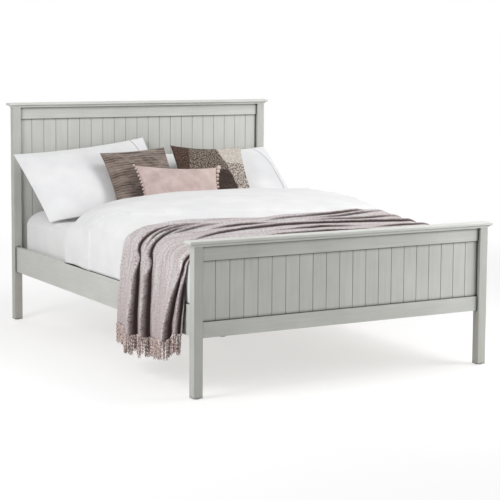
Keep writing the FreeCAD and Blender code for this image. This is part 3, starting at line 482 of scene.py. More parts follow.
def rounded_box(low, high, radius, count):
    """A box pushed out by a radius from a smaller one, with cells that crowd at its edges."""
    points, faces = cube_grids(count)
    points = np.sin(points * math.pi / 2)
    middle, half = (low + high) / 2, (high - low) / 2
    points = points * half
    core = np.clip(points, radius - half, half - radius)
    away = points - core
    length = np.linalg.norm(away, axis=1, keepdims=True)
    return middle + core + away / np.maximum(length, 1e-9) * radius, faces


print("a cube of 2 cells a side has", len(cube_grids(2)[1]), "faces")

# %% [markdown]
# ## The mattress in its fitted sheet
#
# The sheet is pulled tight under the mattress, so shallow creases run down its sides,
# deeper toward the head. The top is faintly domed and uneven, and the filling stands up a
# little at the left head corner, where nothing has pressed it down.

# %% Mattress
MATTRESS_LOW, MATTRESS_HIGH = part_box("mattress")
MATTRESS_EDGE = 0.045                 # radius of the edges, in metres
MATTRESS_CELLS = 110
SIDE_SLACK, CREASE = 0.0025, 0.0022   # how far the sides lie in, and creases in and out
DOME, UNEVEN, PLUMP = 0.004, 0.0012, 0.028


def mattress_points():
    """The rounded box with a domed top and shallow creases down its sides."""
    low, high = np.array(MATTRESS_LOW), np.array(MATTRESS_HIGH)
    points, faces = rounded_box(low, high, MATTRESS_EDGE, MATTRESS_CELLS)
    x, y, z = points.T
    up = smooth_step(z, low[2] + 0.05, high[2])
    side = smooth_step(np.abs(x), high[0] - 0.06, high[0])
    crease = soft_noise(y, z * 0.12, 3, 0.09) * (0.3 + 0.7 * smooth_step(y, 0.5, 0.9))
    points[:, 0] -= np.sign(x) * side * (SIDE_SLACK + CREASE * crease)
    points[:, 2] -= up * DOME * (x / high[0]) ** 2
    points[:, 2] += up * UNEVEN * soft_noise(x, y, 4, 0.3)
    head = smooth_step(y, 0.62, 0.85) * smooth_step(x - low[0], 0.0, 0.09)
    points[:, 2] += up * PLUMP * head * (1 - smooth_step(x, -0.62, -0.40))
    return points, faces


mattress = mesh_piece("fitted_mattress", *mattress_points())
weld(mattress)
print("mattress", len(mattress.data.polygons), "faces")

# %% [markdown]
# ## Cotton
#
# Bed linen is plain woven cotton. At arm's length the weave is only a tooth on the
# surface, so it is a very fine relief from two crossed bands, with a faint unevenness in
# the white and a little sheen, as brushed fibres have.

# %% Cotton finish
def cotton(name, dark, light):
    """Plain white weave: crossed fine bands for relief, clouds for the tone."""
    material, tree, shader = new_finish(name, 0.78, Sheen_Weight=0.25, Sheen_Roughness=0.5)
    vector = place_vector(tree)
    cloud = stretch_range(tree, noise(tree, vector, 7.0, 3.0), 0.35, 0.65)
    tint(tree, shader, blend_colours(tree, cloud, dark, light))
    threads = [wave(tree, vector, 260.0, 0.4, axis) for axis in "XYZ"]
    weave = calculate(tree, "MULTIPLY_ADD", *threads)
    emboss(tree, shader, weave, 0.1, 0.0003)
    return material


SHEET_COTTON = cotton("bed_sheet", colour(228, 228, 228), colour(234, 234, 234))
WHITE_COTTON = cotton("white_cotton", colour(229, 229, 230), colour(236, 236, 236))
mattress.data.materials.append(SHEET_COTTON)
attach(mattress, "mattress_set")
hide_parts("mattress")
print("mattress wears", SHEET_COTTON.name)

# %% [markdown]
# ## The duvet
#
# A duvet is one thick quilt that lies over the mattress and hangs down both sides. Its
# head end is turned back, so it is doubled there, with a soft rolled fold at the end and
# a hem that steps down by the cover's thickness. Across the bed its outline is always the
# same: a straight side, an elliptical shoulder, a slightly crowned top. One function
# gives that outline for any place along the bed and any distance outside it. The throw
# below uses the same function, and so it keeps its distance from the duvet everywhere.

# %% Duvet outline
DUVET_LOW, DUVET_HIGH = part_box("duvet")
TOP = MATTRESS_HIGH.z + 0.0008
FOOT_END, HEAD_END = DUVET_LOW.y, DUVET_HIGH.y
SHOULDER_SHARE = 0.12                          # of the way over the bed, on each side
SHOULDER_WIDE, SHOULDER_TALL, END_SHOULDER = 0.112, 0.075, 0.05
THIN, FULL, TURNED = 0.058, 0.128, 0.012       # thickness at the foot, at the head, of the cover
RISE_START, RISE_END = -0.650, 0.110           # where it grows from thin to full
HEAD_ROLL, FOOT_ROLL, SIDE_ROLL, FOOT_SIDE_ROLL = 0.085, 0.045, 0.035, 0.010
CROWN = 0.014
WALL_GAP, TURN_ROLL = 0.001, 0.03              # metres: beside the mattress, at the fold's end
LIP, LIP_WIDE = 0.40, 0.010                    # soft lip of the hem, as a share of the cover
# Where the turned-back hem lies along the bed, at shares of the way over it.
HEM_SHARE = (0.0, 0.06, 0.12, 0.20, 0.35, 0.50, 0.65, 1.0)
HEM_PLACE = (0.045, -0.05, -0.145, -0.18, -0.20, -0.24, -0.285, -0.295)
# The turned-back end sinks toward its left corner, and is drawn toward the foot there.
CORNER_FALL, CORNER_REACH, CORNER_PULL, PULL_REACH = 0.112, 0.165, 0.065, 0.10
FALL_BELOW, FALL_DEEP, FALL_LEAST = 0.02, 0.12, 0.15   # what lies high sinks in full


def round_off(distance, radius):
    """1 beyond one radius from an end, falling to 0 at the end along a quarter circle."""
    near = np.clip(1 - distance / radius, 0, 1)
    return np.sqrt(1 - near ** 2)


def duvet_thick(y):
    """Thickness over the mattress: thin at the foot, full toward the head, rolled ends."""
    thick = THIN + (FULL - THIN) * smooth_step(y, RISE_START, RISE_END)
    return thick * round_off(HEAD_END - y, HEAD_ROLL) * round_off(y - FOOT_END, FOOT_ROLL)


def turned_back(y, share):
    """1 where the duvet is doubled by its turned-back end, 0 elsewhere, with a soft lip."""
    hem = np.interp(share, HEM_SHARE, HEM_PLACE)
    lip = LIP * np.exp(-((y - hem - TURNED) / LIP_WIDE) ** 2)
    return smooth_step(y, hem - 0.004, hem + 0.005) + lip


def corner_fall(x, y):
    """How far the fold sinks near its left head corner: an exponential fall inward."""
    near = np.exp(-np.clip(x - DUVET_LOW.x, 0, None) / CORNER_REACH)
    return CORNER_FALL * near * smooth_step(y, -0.08, 0.34)


def outline(y, out, share):
    """Point and outward direction at a share of the way over the bed, 0 left to 1 right.

    Up to SHOULDER_SHARE lies the left shoulder, a quarter of an ellipse; the middle is a
    shallow arch; the rest mirrors the left. The sides below are added elsewhere.
    """
    ends = round_off(HEAD_END - y, SIDE_ROLL) * round_off(y - FOOT_END, FOOT_SIDE_ROLL)
    wall = MATTRESS_HIGH.x + WALL_GAP
    half = wall + (DUVET_HIGH.x - wall) * ends + out
    top = TOP + duvet_thick(y) + out
    wide = END_SHOULDER + (SHOULDER_WIDE - END_SHOULDER) * ends
    tall = END_SHOULDER + (SHOULDER_TALL - END_SHOULDER) * ends
    side = np.sign(share - 0.5)
    near = np.minimum(share, 1 - share)
    on_shoulder = near < SHOULDER_SHARE
    angle = np.clip(near / SHOULDER_SHARE, 0, 1) * math.pi / 2
    across = np.clip((near - SHOULDER_SHARE) / (0.5 - SHOULDER_SHARE), 0, 1)
    flat = half - wide
    x = np.where(on_shoulder, flat + wide * np.cos(angle), flat * (1 - across)) * side
    z = top - np.where(on_shoulder, tall * (1 - np.sin(angle)), 0)
    z = z + CROWN * (1 - np.clip(np.abs(x) / flat, 0, 1) ** 2)
    direction_x = np.where(on_shoulder, np.cos(angle), 0) * side
    direction_z = np.where(on_shoulder, np.sin(angle), 1)
    doubled = TURNED * turned_back(y, share) * round_off(HEAD_END - y, TURN_ROLL)
    sinks = np.clip((z - TOP + FALL_BELOW) / FALL_DEEP, FALL_LEAST, 1)
    z = z + doubled * direction_z - corner_fall(x, y) * sinks
    return x + 0.5 * doubled * direction_x, z, direction_x, direction_z


def over_places(on_shoulder, between):
    """Shares of the way over the bed, with so many steps on each shoulder and places between."""
    return np.concatenate([
        np.linspace(0, SHOULDER_SHARE, on_shoulder + 1)[:-1],
        np.linspace(SHOULDER_SHARE, 1 - SHOULDER_SHARE, between),
        np.linspace(1 - SHOULDER_SHARE, 1, on_shoulder + 1)[1:]])


print("duvet runs from", round(FOOT_END, 3), "to", round(HEAD_END, 3))

# %% [markdown]
# ## The duvet's own section
#
# The outline is carried along the bed as rows of points. Under it the sides hang down to
# the hem, a little bulged and rippled, and two layers of unevenness make the top billow as
# down filling does. The section closes over the mattress on the inside, so that the piece
# has a real thickness and no open edge.

# %% Duvet
DUVET_HEM = DUVET_LOW.z
BILLOW, RIPPLE = 0.0045, 0.0018   # height of the large and the small unevenness
SAG, DRAPE = 0.006, 0.010         # bulge of the hanging sides, and their ripple
SIDE_STEPS = 18
FOOT_TURN, HEM_FROM, HEM_TO = 0.05, -0.33, 0.07   # stretches where the rows are set closer
CALM_HEAD, CALM_FOOT = 0.08, 0.06   # stretches at the ends where the unevenness fades
LIFT, LIFT_AT, LIFT_WIDE = 0.006, 0.24, 0.13   # the hem stands a little higher at one place
LINING = MATTRESS_HIGH.x + 0.0009


def duvet_section(y):
    """Closed rows: up the left side, over the bed, down the right, and back inside."""
    hang = np.linspace(0, 1, SIDE_STEPS + 1)[:-1]
    share = over_places(16, 97)
    place = y[:, None]
    x, z, out_x, out_z = outline(place, 0.0, share[None, :])
    fade = (round_off(HEAD_END - y, CALM_HEAD) * round_off(y - FOOT_END, CALM_FOOT))[:, None]
    billow = BILLOW * soft_noise(x, place, 11, 0.34)
    billow = (billow + RIPPLE * soft_noise(x * 0.6, place * 1.5, 12, 0.15)) * fade
    x, z = x + out_x * billow, z + out_z * billow
    hem = DUVET_HEM + LIFT * np.exp(-((place - LIFT_AT) / LIFT_WIDE) ** 2)
    ripple = soft_noise(place, hang[None, :] * 0.12, 13, 0.17) * fade
    bulge = SAG / 2 * np.sin(np.pi * hang) * fade - DRAPE * ripple * hang * (1 - hang)
    sides = [np.stack([x[:, edge] + sign * bulge, np.broadcast_to(place, bulge.shape),
                       hem + (z[:, edge] - hem) * hang], -1)
             for edge, sign in ((slice(0, 1), -1), (slice(-1, None), 1))]
    top = np.stack([x, np.broadcast_to(place, x.shape), z], -1)
    shell = np.concatenate([sides[0], top, sides[1][:, ::-1]], axis=1)
    pull = np.exp(-np.clip(shell[..., 0] - DUVET_LOW.x, 0, None) / PULL_REACH)
    shell[..., 1] -= CORNER_PULL * pull * smooth_step(shell[..., 1], 0.15, HEAD_END)
    lining = shell.copy()
    lining[..., 0] = np.clip(lining[..., 0], -LINING, LINING)
    lining[..., 2] = np.minimum(lining[..., 2], TOP - 0.0002)
    return np.concatenate([shell, lining[:, ::-1]], axis=1)


def duvet_rows():
    """Places along the bed, crowded at the rolled ends and over the turned-back hem."""
    return np.concatenate([
        FOOT_END + FOOT_TURN * (1 - np.cos(np.linspace(0, math.pi / 2, 12)[:-1])),
        np.linspace(FOOT_END + FOOT_TURN, HEM_FROM, 42)[:-1],
        np.linspace(HEM_FROM, HEM_TO, 131)[:-1],
        np.linspace(HEM_TO, HEAD_END - HEAD_ROLL, 24)[:-1],
        HEAD_END - HEAD_ROLL * (1 - np.sin(np.linspace(0, math.pi / 2, 20)))])


section = duvet_section(duvet_rows())
duvet = mesh_piece("duvet_turned_back", section, grid_faces(*section.shape[:2], wrap_columns=True))
weld(duvet, 0.0004)
duvet.data.materials.append(WHITE_COTTON)
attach(duvet, "mattress_set")
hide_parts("duvet")
print("duvet", len(duvet.data.polygons), "faces")

# %% [markdown]
# ## The throw's folds
#
# The throw is one strip of loosely woven wool, laid across the foot of the bed and left
# to hang down the left side in long folds. A cloth simulation would fold it somewhere; the
# photographed folds lie in known places. So each fold follows a line drawn on the cloth by
# a few listed places, given as the run from the left shoulder, in metres, and the share
# of the width from the head edge to the foot edge.

# %% Fold table
# How far the head edge slips toward the foot along the run, as a share of the width.
SLIP_RUN = (-0.42, -0.10, 0.0, 0.05, 0.10, 0.17, 0.29, 0.37, 0.46, 0.54, 0.67, 0.76, 0.87,
            0.98, 1.11, 1.26)
SLIP = (0, 0, 0.02, 0.06, 0.09, 0.09, 0.03, 0.01, 0.05, 0.07, 0.13, 0.07, 0.07, 0.05, 0.02, 0)
# Each fold: width of its rise, then places of its line as run, share across, height in mm.
FOLDS = [
    (0.28, (-0.42, -0.10, 0.0, 0.12, 0.22, 0.34), (0.31, 0.29, 0.27, 0.25, 0.17, 0.10),
     (46, 30, 15, 10, 9, 0)),
    (0.05, (-0.02, 0.09, 0.17, 0.29, 0.42), (0.36, 0.36, 0.28, 0.16, 0.11), (0, 8, 9, 8, 0)),
    (0.17, (-0.42, -0.10, 0.0, 0.08, 0.15, 0.22, 0.34),
     (0.51, 0.48, 0.46, 0.43, 0.37, 0.26, 0.18), (46, 34, 20, 14, 12, 10, 0)),
    (0.06, (0.16, 0.24, 0.30, 0.38, 0.48), (0.38, 0.30, 0.26, 0.20, 0.17), (0, 8, 9, 7, 0)),
    (0.08, (0.34, 0.41, 0.50, 0.59, 0.70), (0.33, 0.31, 0.29, 0.29, 0.28), (0, 8, 10, 8, 0)),
    (0.14, (0.16, 0.24, 0.32, 0.40, 0.52, 0.64, 0.80, 1.0, 1.25, 1.40),
     (0.70, 0.60, 0.51, 0.46, 0.42, 0.39, 0.38, 0.41, 0.41, 0.34),
     (0, 8, 10, 10, 11, 11, 10, 13, 13, 5)),
    (0.08, (0.62, 0.72, 0.88, 1.03, 1.12, 1.22), (0.22, 0.17, 0.13, 0.10, 0.04, -0.02),
     (0, 7, 8, 10, 10, 6)),
    (0.06, (0.85, 0.95, 1.04, 1.15, 1.28), (0.22, 0.20, 0.17, 0.10, 0.02), (0, 7, 9, 9, 5)),
    (0.08, (0.78, 0.92, 1.09, 1.20, 1.40), (0.27, 0.27, 0.28, 0.23, 0.16), (0, 7, 9, 9, 3)),
    (0.12, (0.55, 0.69, 0.80, 0.90, 1.0), (0.58, 0.57, 0.56, 0.58, 0.63), (0, 8, 10, 8, 0)),
    (0.12, (0.96, 1.06, 1.16, 1.28, 1.38), (0.70, 0.68, 0.63, 0.60, 0.58), (0, 8, 10, 9, 3)),
    (0.24, (-0.42, -0.32, -0.20, -0.10, -0.03, 0.07, 0.20),
     (0.83, 0.83, 0.86, 0.91, 0.93, 0.96, 1.02), (42, 36, 27, 20, 15, 9, 0)),
    (0.06, (-0.42, -0.20, -0.05, 0.05), (0.955, 0.965, 0.985, 1.0), (26, 22, 12, 0)),
    (0.10, (0.40, 0.55, 0.75, 0.95, 1.20), (0.80, 0.76, 0.78, 0.84, 0.86), (0, 7, 9, 8, 0)),
]
print(len(FOLDS), "folds, up to", max(max(fold[3]) for fold in FOLDS), "mm high")

# %% [markdown]
# ## From lines to relief
#
# Before its line the cloth rises slowly; past it, it drops steeply. The same lines say how
# deep each point lies in a drop. The sheet below uses that to tuck the cloth under, and the
# wool to paint shade into it.

# %% Folds as a height
FALL = 0.022   # share of the throw's width over which a fold drops
SPREAD, SPREAD_TALL = 0.03, 0.02   # width of the bell that rounds a line, and its heights
FINE_RUN, FINE_STEP, PAD = np.linspace(-0.6, 1.7, 921), 0.0025, 40
FOLD_END = 0.05   # run over which a fold fades out past its last place
RISE_POWER = 1.7
# painted shade in each fold's drop
FOLD_SHADE = (-0.25, 0.8, 1.2, 2.0)   # where the dark of a fold comes and goes, in falls past it


def curve(run, places, values, soft=SPREAD):
    """Straight lines through given values, rounded by averaging under a bell."""
    line = np.pad(np.interp(FINE_RUN, places, values), PAD, mode="edge")
    bell = np.exp(-0.5 * (np.arange(-PAD, PAD + 1) * FINE_STEP / soft) ** 2)
    return np.interp(run, FINE_RUN, np.convolve(line, bell / bell.sum(), "valid"))


def fold_sum(run, share):
    """Height of all the folds in metres, and how much shade is painted at each point of a fold's
    drop.
    """
    height = np.zeros(np.broadcast(run, share).shape)
    shade = np.zeros_like(height)
    for rise, runs, shares, tall in FOLDS:
        past = share - curve(run, runs, shares)
        ends = (runs[0] - FOLD_END, *runs, runs[-1] + FOLD_END)
        high = curve(run, ends, (tall[0], *tall, 0), SPREAD_TALL)
        up = np.clip(1 + past / rise, 0, 1) ** RISE_POWER
        height += high / 1000 * up * (1 - smooth_step(past, 0, FALL))
        # painted shade: darkest just past the line, at the foot of the drop
        dark = smooth_step(past, FOLD_SHADE[0] * FALL, FOLD_SHADE[1] * FALL) * (
            1 - smooth_step(past, FOLD_SHADE[2] * FALL, FOLD_SHADE[3] * FALL))
        shade = np.maximum(shade, dark * np.clip(high / 10, 0, 1))
    return height, shade


print("the first line lifts the drop by", round(float(fold_sum(-0.3, 0.29)[0]), 3), "m")

# %% [markdown]
# ## The sheet
#
# The sheet is a grid: one direction runs from hem to hem over the bed, the other from the
# head edge to the foot edge. Over the bed each point is the duvet's outline moved outward
# by a clearance and the folds' height. Below the knee, where the mattress no longer holds
# it out, the left drop hangs straight, just clear of the side rail.

# %% Throw sheet
THROW_FOOT, THROW_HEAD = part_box("throw")[0].y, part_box("throw")[1].y
THROW_LONG = THROW_HEAD - THROW_FOOT
LEFT_HEM, RIGHT_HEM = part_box("throw")[0].z, 0.462
HANG_LONG, OVER_LONG, RIGHT_LONG = 0.42, 1.45, 0.10   # run along the cloth, in metres
HANG_STEPS, OVER_STEPS, RIGHT_STEPS, ROWS = 50, 160, 10, 221
KNEE, KNEE_LOW, KNEE_HIGH = 0.468, 0.04, 0.06   # its height, how far it rounds down and up
WALL, WALL_LEAN = -0.7265, 0.016    # where the drop hangs, and how far out its hem leans
CLEARANCE, FINE = 0.0045, 0.0012
TUCK_SHARE, TUCK_MOST = 0.85, 0.012   # a fold leans over its drop by this share of its height
EDGE_FOOT, EDGE_HEAD = 0.008, 0.010   # how far an edge may pass the CAD solid's
# Steps of the left hem from the head edge: height, and the shares between which it comes in.
HEM_STEPS = ((-0.022, 0.17, 0.24), (0.014, 0.25, 0.5), (0.020, 0.60, 0.80), (0.040, 0.82, 0.92))


def throw_points():
    """Grid of the throw's inner face: left drop, over the bed, right drop."""
    share = np.linspace(0, 1, ROWS)[:, None]
    over = over_places(20, OVER_STEPS - 40)[None, :]
    drop = np.linspace(0, 1, HANG_STEPS)[None, :-1]
    end = np.linspace(0, 1, RIGHT_STEPS)[None, 1:]
    run = np.concatenate([(drop - 1) * HANG_LONG, over * OVER_LONG,
                          OVER_LONG + end * RIGHT_LONG], axis=1)
    share = share + curve(run, SLIP_RUN, SLIP) * (1 - share) ** 2
    height, shade = fold_sum(run, share)
    fine = FINE * soft_noise(run * 0.6, share, 22, 0.055)
    y = THROW_HEAD - share * THROW_LONG
    crown = slice(HANG_STEPS - 1, HANG_STEPS - 1 + OVER_STEPS)
    x, z, away_x, away_z = outline(y[:, crown], CLEARANCE, over)
    x = x + away_x * (height + fine)[:, crown]
    z = z + away_z * (height + fine)[:, crown]
    hem = LEFT_HEM - 0.004 + sum(step * smooth_step(share[:, :1], start, stop)
                                 for step, start, stop in HEM_STEPS)
    left_z = hem + (z[:, :1] - hem) * drop
    held_out = smooth_step(left_z, KNEE - KNEE_LOW, KNEE + KNEE_HIGH)
    wall = WALL - WALL_LEAN * smooth_step(KNEE - left_z, 0.0, 0.25)
    left_x = wall + (x[:, :1] - wall) * held_out
    left_x = left_x - (height + fine)[:, :HANG_STEPS - 1] * (1 - held_out)
    right_z = RIGHT_HEM + (z[:, -1:] - RIGHT_HEM) * (1 - end)
    full_x = np.concatenate([left_x, x, np.broadcast_to(x[:, -1:], right_z.shape)], axis=1)
    full_z = np.concatenate([left_z, z, right_z], axis=1)
    tuck = TUCK_SHARE * np.minimum(height, TUCK_MOST) * (shade > 0.02)
    full_y = np.clip(y - tuck, THROW_FOOT - EDGE_FOOT, THROW_HEAD + EDGE_HEAD)
    return np.stack([full_x, full_y, full_z], -1), run, share, shade


cloth, run, share, shade = throw_points()
print("throw grid", cloth.shape[:2], "left edge at", round(float(cloth[..., 0].min()), 3))

# %% [markdown]
# ## Wool for the throw
#
# The throw is loosely spun in several dusty shades, so the colour changes in long streaks
# along the yarns, which run the way the throw was woven: across the bed. The streaks are
# noise stretched along one axis of the cloth's own coordinates, stored on the mesh, so
# that they follow the cloth round the shoulder and down the side. Shade is painted into the
# folds' drops, from a depth stored on the mesh and from ambient occlusion, and the wool is
# painted rosier and darker down the drop, which is painted shade as well.

# %% Wool finish
# painted shade: the colour that the folds' drops are darkened toward
FOLD_SHADE_COLOUR = colour(54, 36, 33)
THROW_TONES = colour(112, 92, 88), colour(196, 180, 181), colour(232, 229, 230)


def heathered(name, dark, rose, pale):
    """Streaked woven wool with painted shade: rosier and darker down the drop, dark in the folds.
    """
    material, tree, shader = new_finish(name, 0.92, Sheen_Weight=0.12, Sheen_Roughness=0.6)
    vector = place_vector(tree, attribute="weave")
    streak = noise(tree, place_vector(tree, (5.0, 60.0, 1.0), "weave"), 1.0, 4.0, 0.65)
    band = noise(tree, place_vector(tree, (1.6, 9.0, 1.0), "weave"), 1.0, 2.0)
    fleck = noise(tree, place_vector(tree, (110.0, 210.0, 1.0), "weave"), 1.0, 3.0, 0.6)
    drop = stretch_range(tree, part_of(tree, vector, "X"), 0.0, -HANG_LONG, 0.0, 0.75)
    base = blend_colours(tree, stretch_range(tree, streak, 0.36, 0.58), rose, pale)
    base = blend_colours(tree, stretch_range(tree, band, 0.42, 0.64, 0.0, 0.45), base, rose)
    # painted shade: rosier and darker down the drop, toward the hem
    base = blend_colours(tree, drop, base, rose)
    base = blend_colours(tree, stretch_range(tree, fleck, 0.48, 0.66, 0.0, 0.85), base, dark)
    # painted shade: darker in folds, by ambient occlusion and by the stored depth
    closed = stretch_range(tree, open_share(tree, 0.03), 0.25, 0.95, 1.0, 0.0)
    deep = calculate(tree, "MAXIMUM", part_of(tree, vector, "Z"), closed)
    deep = stretch_range(tree, deep, 0.10, 0.90)
    tint(tree, shader, blend_colours(tree, deep, base, FOLD_SHADE_COLOUR))
    threads = wave(tree, vector, 110.0, 3.0)
    relief = calculate(tree, "ADD", threads, stretch_range(tree, fleck, 0.3, 0.8, 0.0, 0.4))
    emboss(tree, shader, relief, 0.5, 0.0014)
    return material


throw = mesh_piece("woven_throw", cloth, grid_faces(*cloth.shape[:2]))
throw.data.materials.append(heathered("throw_wool", *THROW_TONES))
# the third value is how much shade is painted in a fold's drop
store(throw, "weave", np.stack([run + 0 * share, share * THROW_LONG, shade], -1).reshape(-1, 3))
thick = throw.modifiers.new("thickness", "SOLIDIFY")
thick.thickness, thick.offset = 0.0035, 1.0

# %% [markdown]
# ## The fringe
#
# Both hems end in a knotted fringe. Each tassel is two yarns twisted round each other
# below a knot, frayed at the end, and they hang side by side, so close that they touch.
# A yarn is a thin tube carried along a helix. It swells at the knot, thins out and spreads
# toward the frayed end, and seeded numbers make every tassel a little different.

# %% Twisted yarns
TASSELS = 88                          # on each hem
TASSEL_SHORT, TASSEL_EXTRA = 0.066, 0.020
YARN_THICK, YARN_APART = 0.0026, 0.0025   # radius, and distance from the tassel's middle
TWIST = 17.0                          # radians from top to bottom
KNOT_SWELL, FRAY, THINNING, TIP = 0.0020, 0.0018, 0.0007, 0.0004
IN_HEM, LEAN, JITTER = 0.006, 0.010, 0.3   # hidden length, sway, and unevenness of the places
YARN_RINGS, YARN_SIDES = 16, 4        # few, because the yarns are many


def tube(line, radius, sides):
    """A closed tube: circles of the given radii round a line that mostly runs downward."""
    turn = np.arange(sides) * 2 * math.pi / sides
    ring = np.stack([np.cos(turn), np.sin(turn), 0 * turn], -1)
    points = line[:, None] + ring[None] * radius[:, None, None]
    return points.reshape(-1, 3), grid_faces(len(line), sides, wrap_columns=True)


def twisted_tassels(hem_line, seed):
    """Pairs of yarns twisted below a knot, hung along a hem line, and their tones."""
    rng = np.random.default_rng(seed)
    steps = np.linalg.norm(np.diff(hem_line, axis=0), axis=1)
    length = np.concatenate([[0], np.cumsum(steps)])
    down = np.linspace(0, 1, YARN_RINGS)
    knot = np.exp(-((down - 0.10) / 0.05) ** 2)
    reach = YARN_APART + FRAY * smooth_step(down, 0.7, 1.0)
    radius = YARN_THICK + KNOT_SWELL * knot - THINNING * smooth_step(down, 0.75, 1.0)
    radius[0] = radius[-1] = TIP
    tied = (0.55 * np.exp(-((down - 0.02) / 0.05) ** 2)
            + 0.5 * np.exp(-((down - 0.19) / 0.03) ** 2))
    parts, faces, tones = [], [], []
    for number in range(TASSELS):
        place = length[-1] * (number + 0.5 + JITTER * (rng.random() - 0.5)) / TASSELS
        start = np.array([np.interp(place, length, hem_line[:, k]) for k in range(3)])
        fall = TASSEL_SHORT + TASSEL_EXTRA * rng.random()
        lean = LEAN * (rng.random(2) - 0.5)
        phase = rng.random() * 6.28
        for yarn in (0, 1):
            turn = phase + yarn * math.pi + down * TWIST
            line = np.stack([start[0] + lean[0] * down ** 2 + reach * np.cos(turn),
                             start[1] + lean[1] * down ** 2 + reach * np.sin(turn),
                             start[2] + IN_HEM - (fall + IN_HEM) * down], -1)
            points, corners = tube(line, radius, YARN_SIDES)
            faces.append(corners + len(parts) * len(points))
            parts.append(points)
            tones.append(np.stack([np.repeat(down * fall, YARN_SIDES) + rng.random() * 0.5,
                                   np.full(len(points), rng.random()),
                                   np.repeat(tied, YARN_SIDES)], -1))
    return np.concatenate(parts), np.concatenate(faces), np.concatenate(tones)


hems = [twisted_tassels(cloth[:, edge] + np.array([out, 0, 0]), seed)
        for edge, out, seed in ((0, -0.002, 5), (-1, 0.002, 6))]
fringe = mesh_piece("knotted_fringe", np.concatenate([hem[0] for hem in hems]),
                    np.concatenate([hems[0][1], hems[1][1] + len(hems[0][0])]))
store(fringe, "weave", np.concatenate([hem[2] for hem in hems]))
print("fringe", len(fringe.data.polygons), "faces")

# %% [markdown]
# ## Yarn, and the throw's place
#
# The yarns are two-tone, blotched along their length, and the knots are dark on some and
# pale on others. Each yarn carries its own random number, stored on the mesh, so that one
# finish serves them all. Then throw and fringe are set to ride with the mattress.

# %% Yarn finish
def twisted_yarn(name, dark, light, pale):
    """Two-tone yarn: blotches along each yarn, every yarn its own tone, light and dark knots."""
    material, tree, shader = new_finish(name, 0.9)
    blotch = noise(tree, place_vector(tree, (160.0, 14.0, 1.0), "weave"), 1.0, 2.0, 0.6)
    base = blend_colours(tree, stretch_range(tree, blotch, 0.38, 0.60), dark, light)
    own = noise(tree, place_vector(tree, (0.0, 37.0, 0.0), "weave"), 1.0, 1.0)
    tied = blend_colours(tree, stretch_range(tree, own, 0.48, 0.52), dark, pale)
    knot = part_of(tree, place_vector(tree, attribute="weave"), "Z")
    tint(tree, shader, blend_colours(tree, knot, base, tied))
    emboss(tree, shader, blotch, 0.4, 0.001)
    return material


fringe.data.materials.append(twisted_yarn("throw_yarn", colour(112, 88, 83),
                                          colour(226, 208, 203), colour(242, 234, 229)))
for piece, node in ((throw, "throw"), (fringe, "throw_fringe")):
    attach(piece, "mattress_set")
    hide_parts(node)
print("throw and fringe ride with the mattress")

# %% [markdown]
# ## Pillows and cushions
#
# Every filled piece here is the same kind of thing: two cloths sewn together at their
# edges and stuffed. Filling pushes the middle out and pulls the sides in, so the outline
# has drawn-in sides and pointed corners. Two grids, a front and a back, share an outline
# given by four corners and by how far each side is drawn in. Pillow cases also have an
# unstuffed band beyond a row of stitches at their open end.

# %% Case shape
BULGE, ROUNDING = 2.6, 0.62   # powers of the lens: flat middle, steep seam
SEAM_HALF = 0.0012            # half the thickness of the cloths beside the seam, in metres


def crowded_ends(count):
    """Places from -1 to 1 whose steps get shorter toward both ends."""
    place = np.linspace(-1, 1, count + 1)
    return place * (1.28 - 0.28 * place ** 2)


def case_grid(corners, drawn, thick, band, count):
    """Front and back of a stuffed case, lying flat, with what the finishes need.

    corners: left bottom, right bottom, right top, left top. drawn: how far the left,
    right, bottom and top sides are pulled in at their middle. band: width of the
    unstuffed band at the right end, at its middle and at its corners.
    """
    u, v = np.meshgrid(crowded_ends(count[0]), crowded_ends(count[1]), indexing="ij")
    low, high, near, far = (1 - v) / 2, (1 + v) / 2, (1 - u) / 2, (1 + u) / 2
    weights = (near * low, far * low, far * high, near * high)
    x = sum(weight * corner[0] for weight, corner in zip(weights, corners))
    y = sum(weight * corner[1] for weight, corner in zip(weights, corners))
    left, right, bottom, top = drawn
    x = x + (left * near ** 3 - right * far ** 3) * (1 - v ** 2)
    y = y + (bottom * low ** 3 - top * high ** 3) * (1 - u ** 2)
    start, end = x[:1], x[-1:] - (band[0] + (band[1] - band[0]) * np.abs(v) ** 4)
    inner = np.clip(2 * (x - start) / (end - start) - 1, -1, 1) if band[1] else u
    filled = ((1 - np.abs(inner) ** BULGE) * (1 - np.abs(v) ** BULGE)) ** ROUNDING
    rim = np.clip(12 * (1 - np.abs(u)), 0, 1) * np.clip(12 * (1 - np.abs(v)), 0, 1)
    z = np.maximum(thick / 2 * filled, SEAM_HALF * rim)
    stitch = (x - end) if band[1] else 1.0 + 0 * x
    return np.stack([x, y, z], -1), np.stack([x, y, filled], -1), stitch


def stand(points, node, angle, turn):
    """Stands a flat piece up, leaning back and turned, about the middle of its CAD solid."""
    low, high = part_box(node)
    middle = np.array((low + high) / 2)
    lean, turn = math.radians(90 - angle), math.radians(turn)
    about_z = np.array([[math.cos(turn), -math.sin(turn), 0],
                        [math.sin(turn), math.cos(turn), 0], [0, 0, 1]])
    about_x = np.array([[1, 0, 0], [0, math.cos(lean), -math.sin(lean)],
                        [0, math.sin(lean), math.cos(lean)]])
    return points @ (about_x @ about_z).T + middle


print("places along a side, in four steps:", crowded_ends(4).round(2).tolist())

# %% [markdown]
# ## Blown up like a balloon
#
# A lens worked out by formula is too even for cloth. So each case is then blown up with
# Blender's cloth simulation, its seam held still: the cloth bulges, strains, and puckers
# at the seam as a stuffed case does. The piece is made lying flat, and is stood up, leaned
# back and turned at the end, as the CAD solid is.

# %% Filling by simulation
PRESSURE, CAP = 1.6, 0.026   # air pressure, and about how far a point may move, in metres
FRAMES = 20


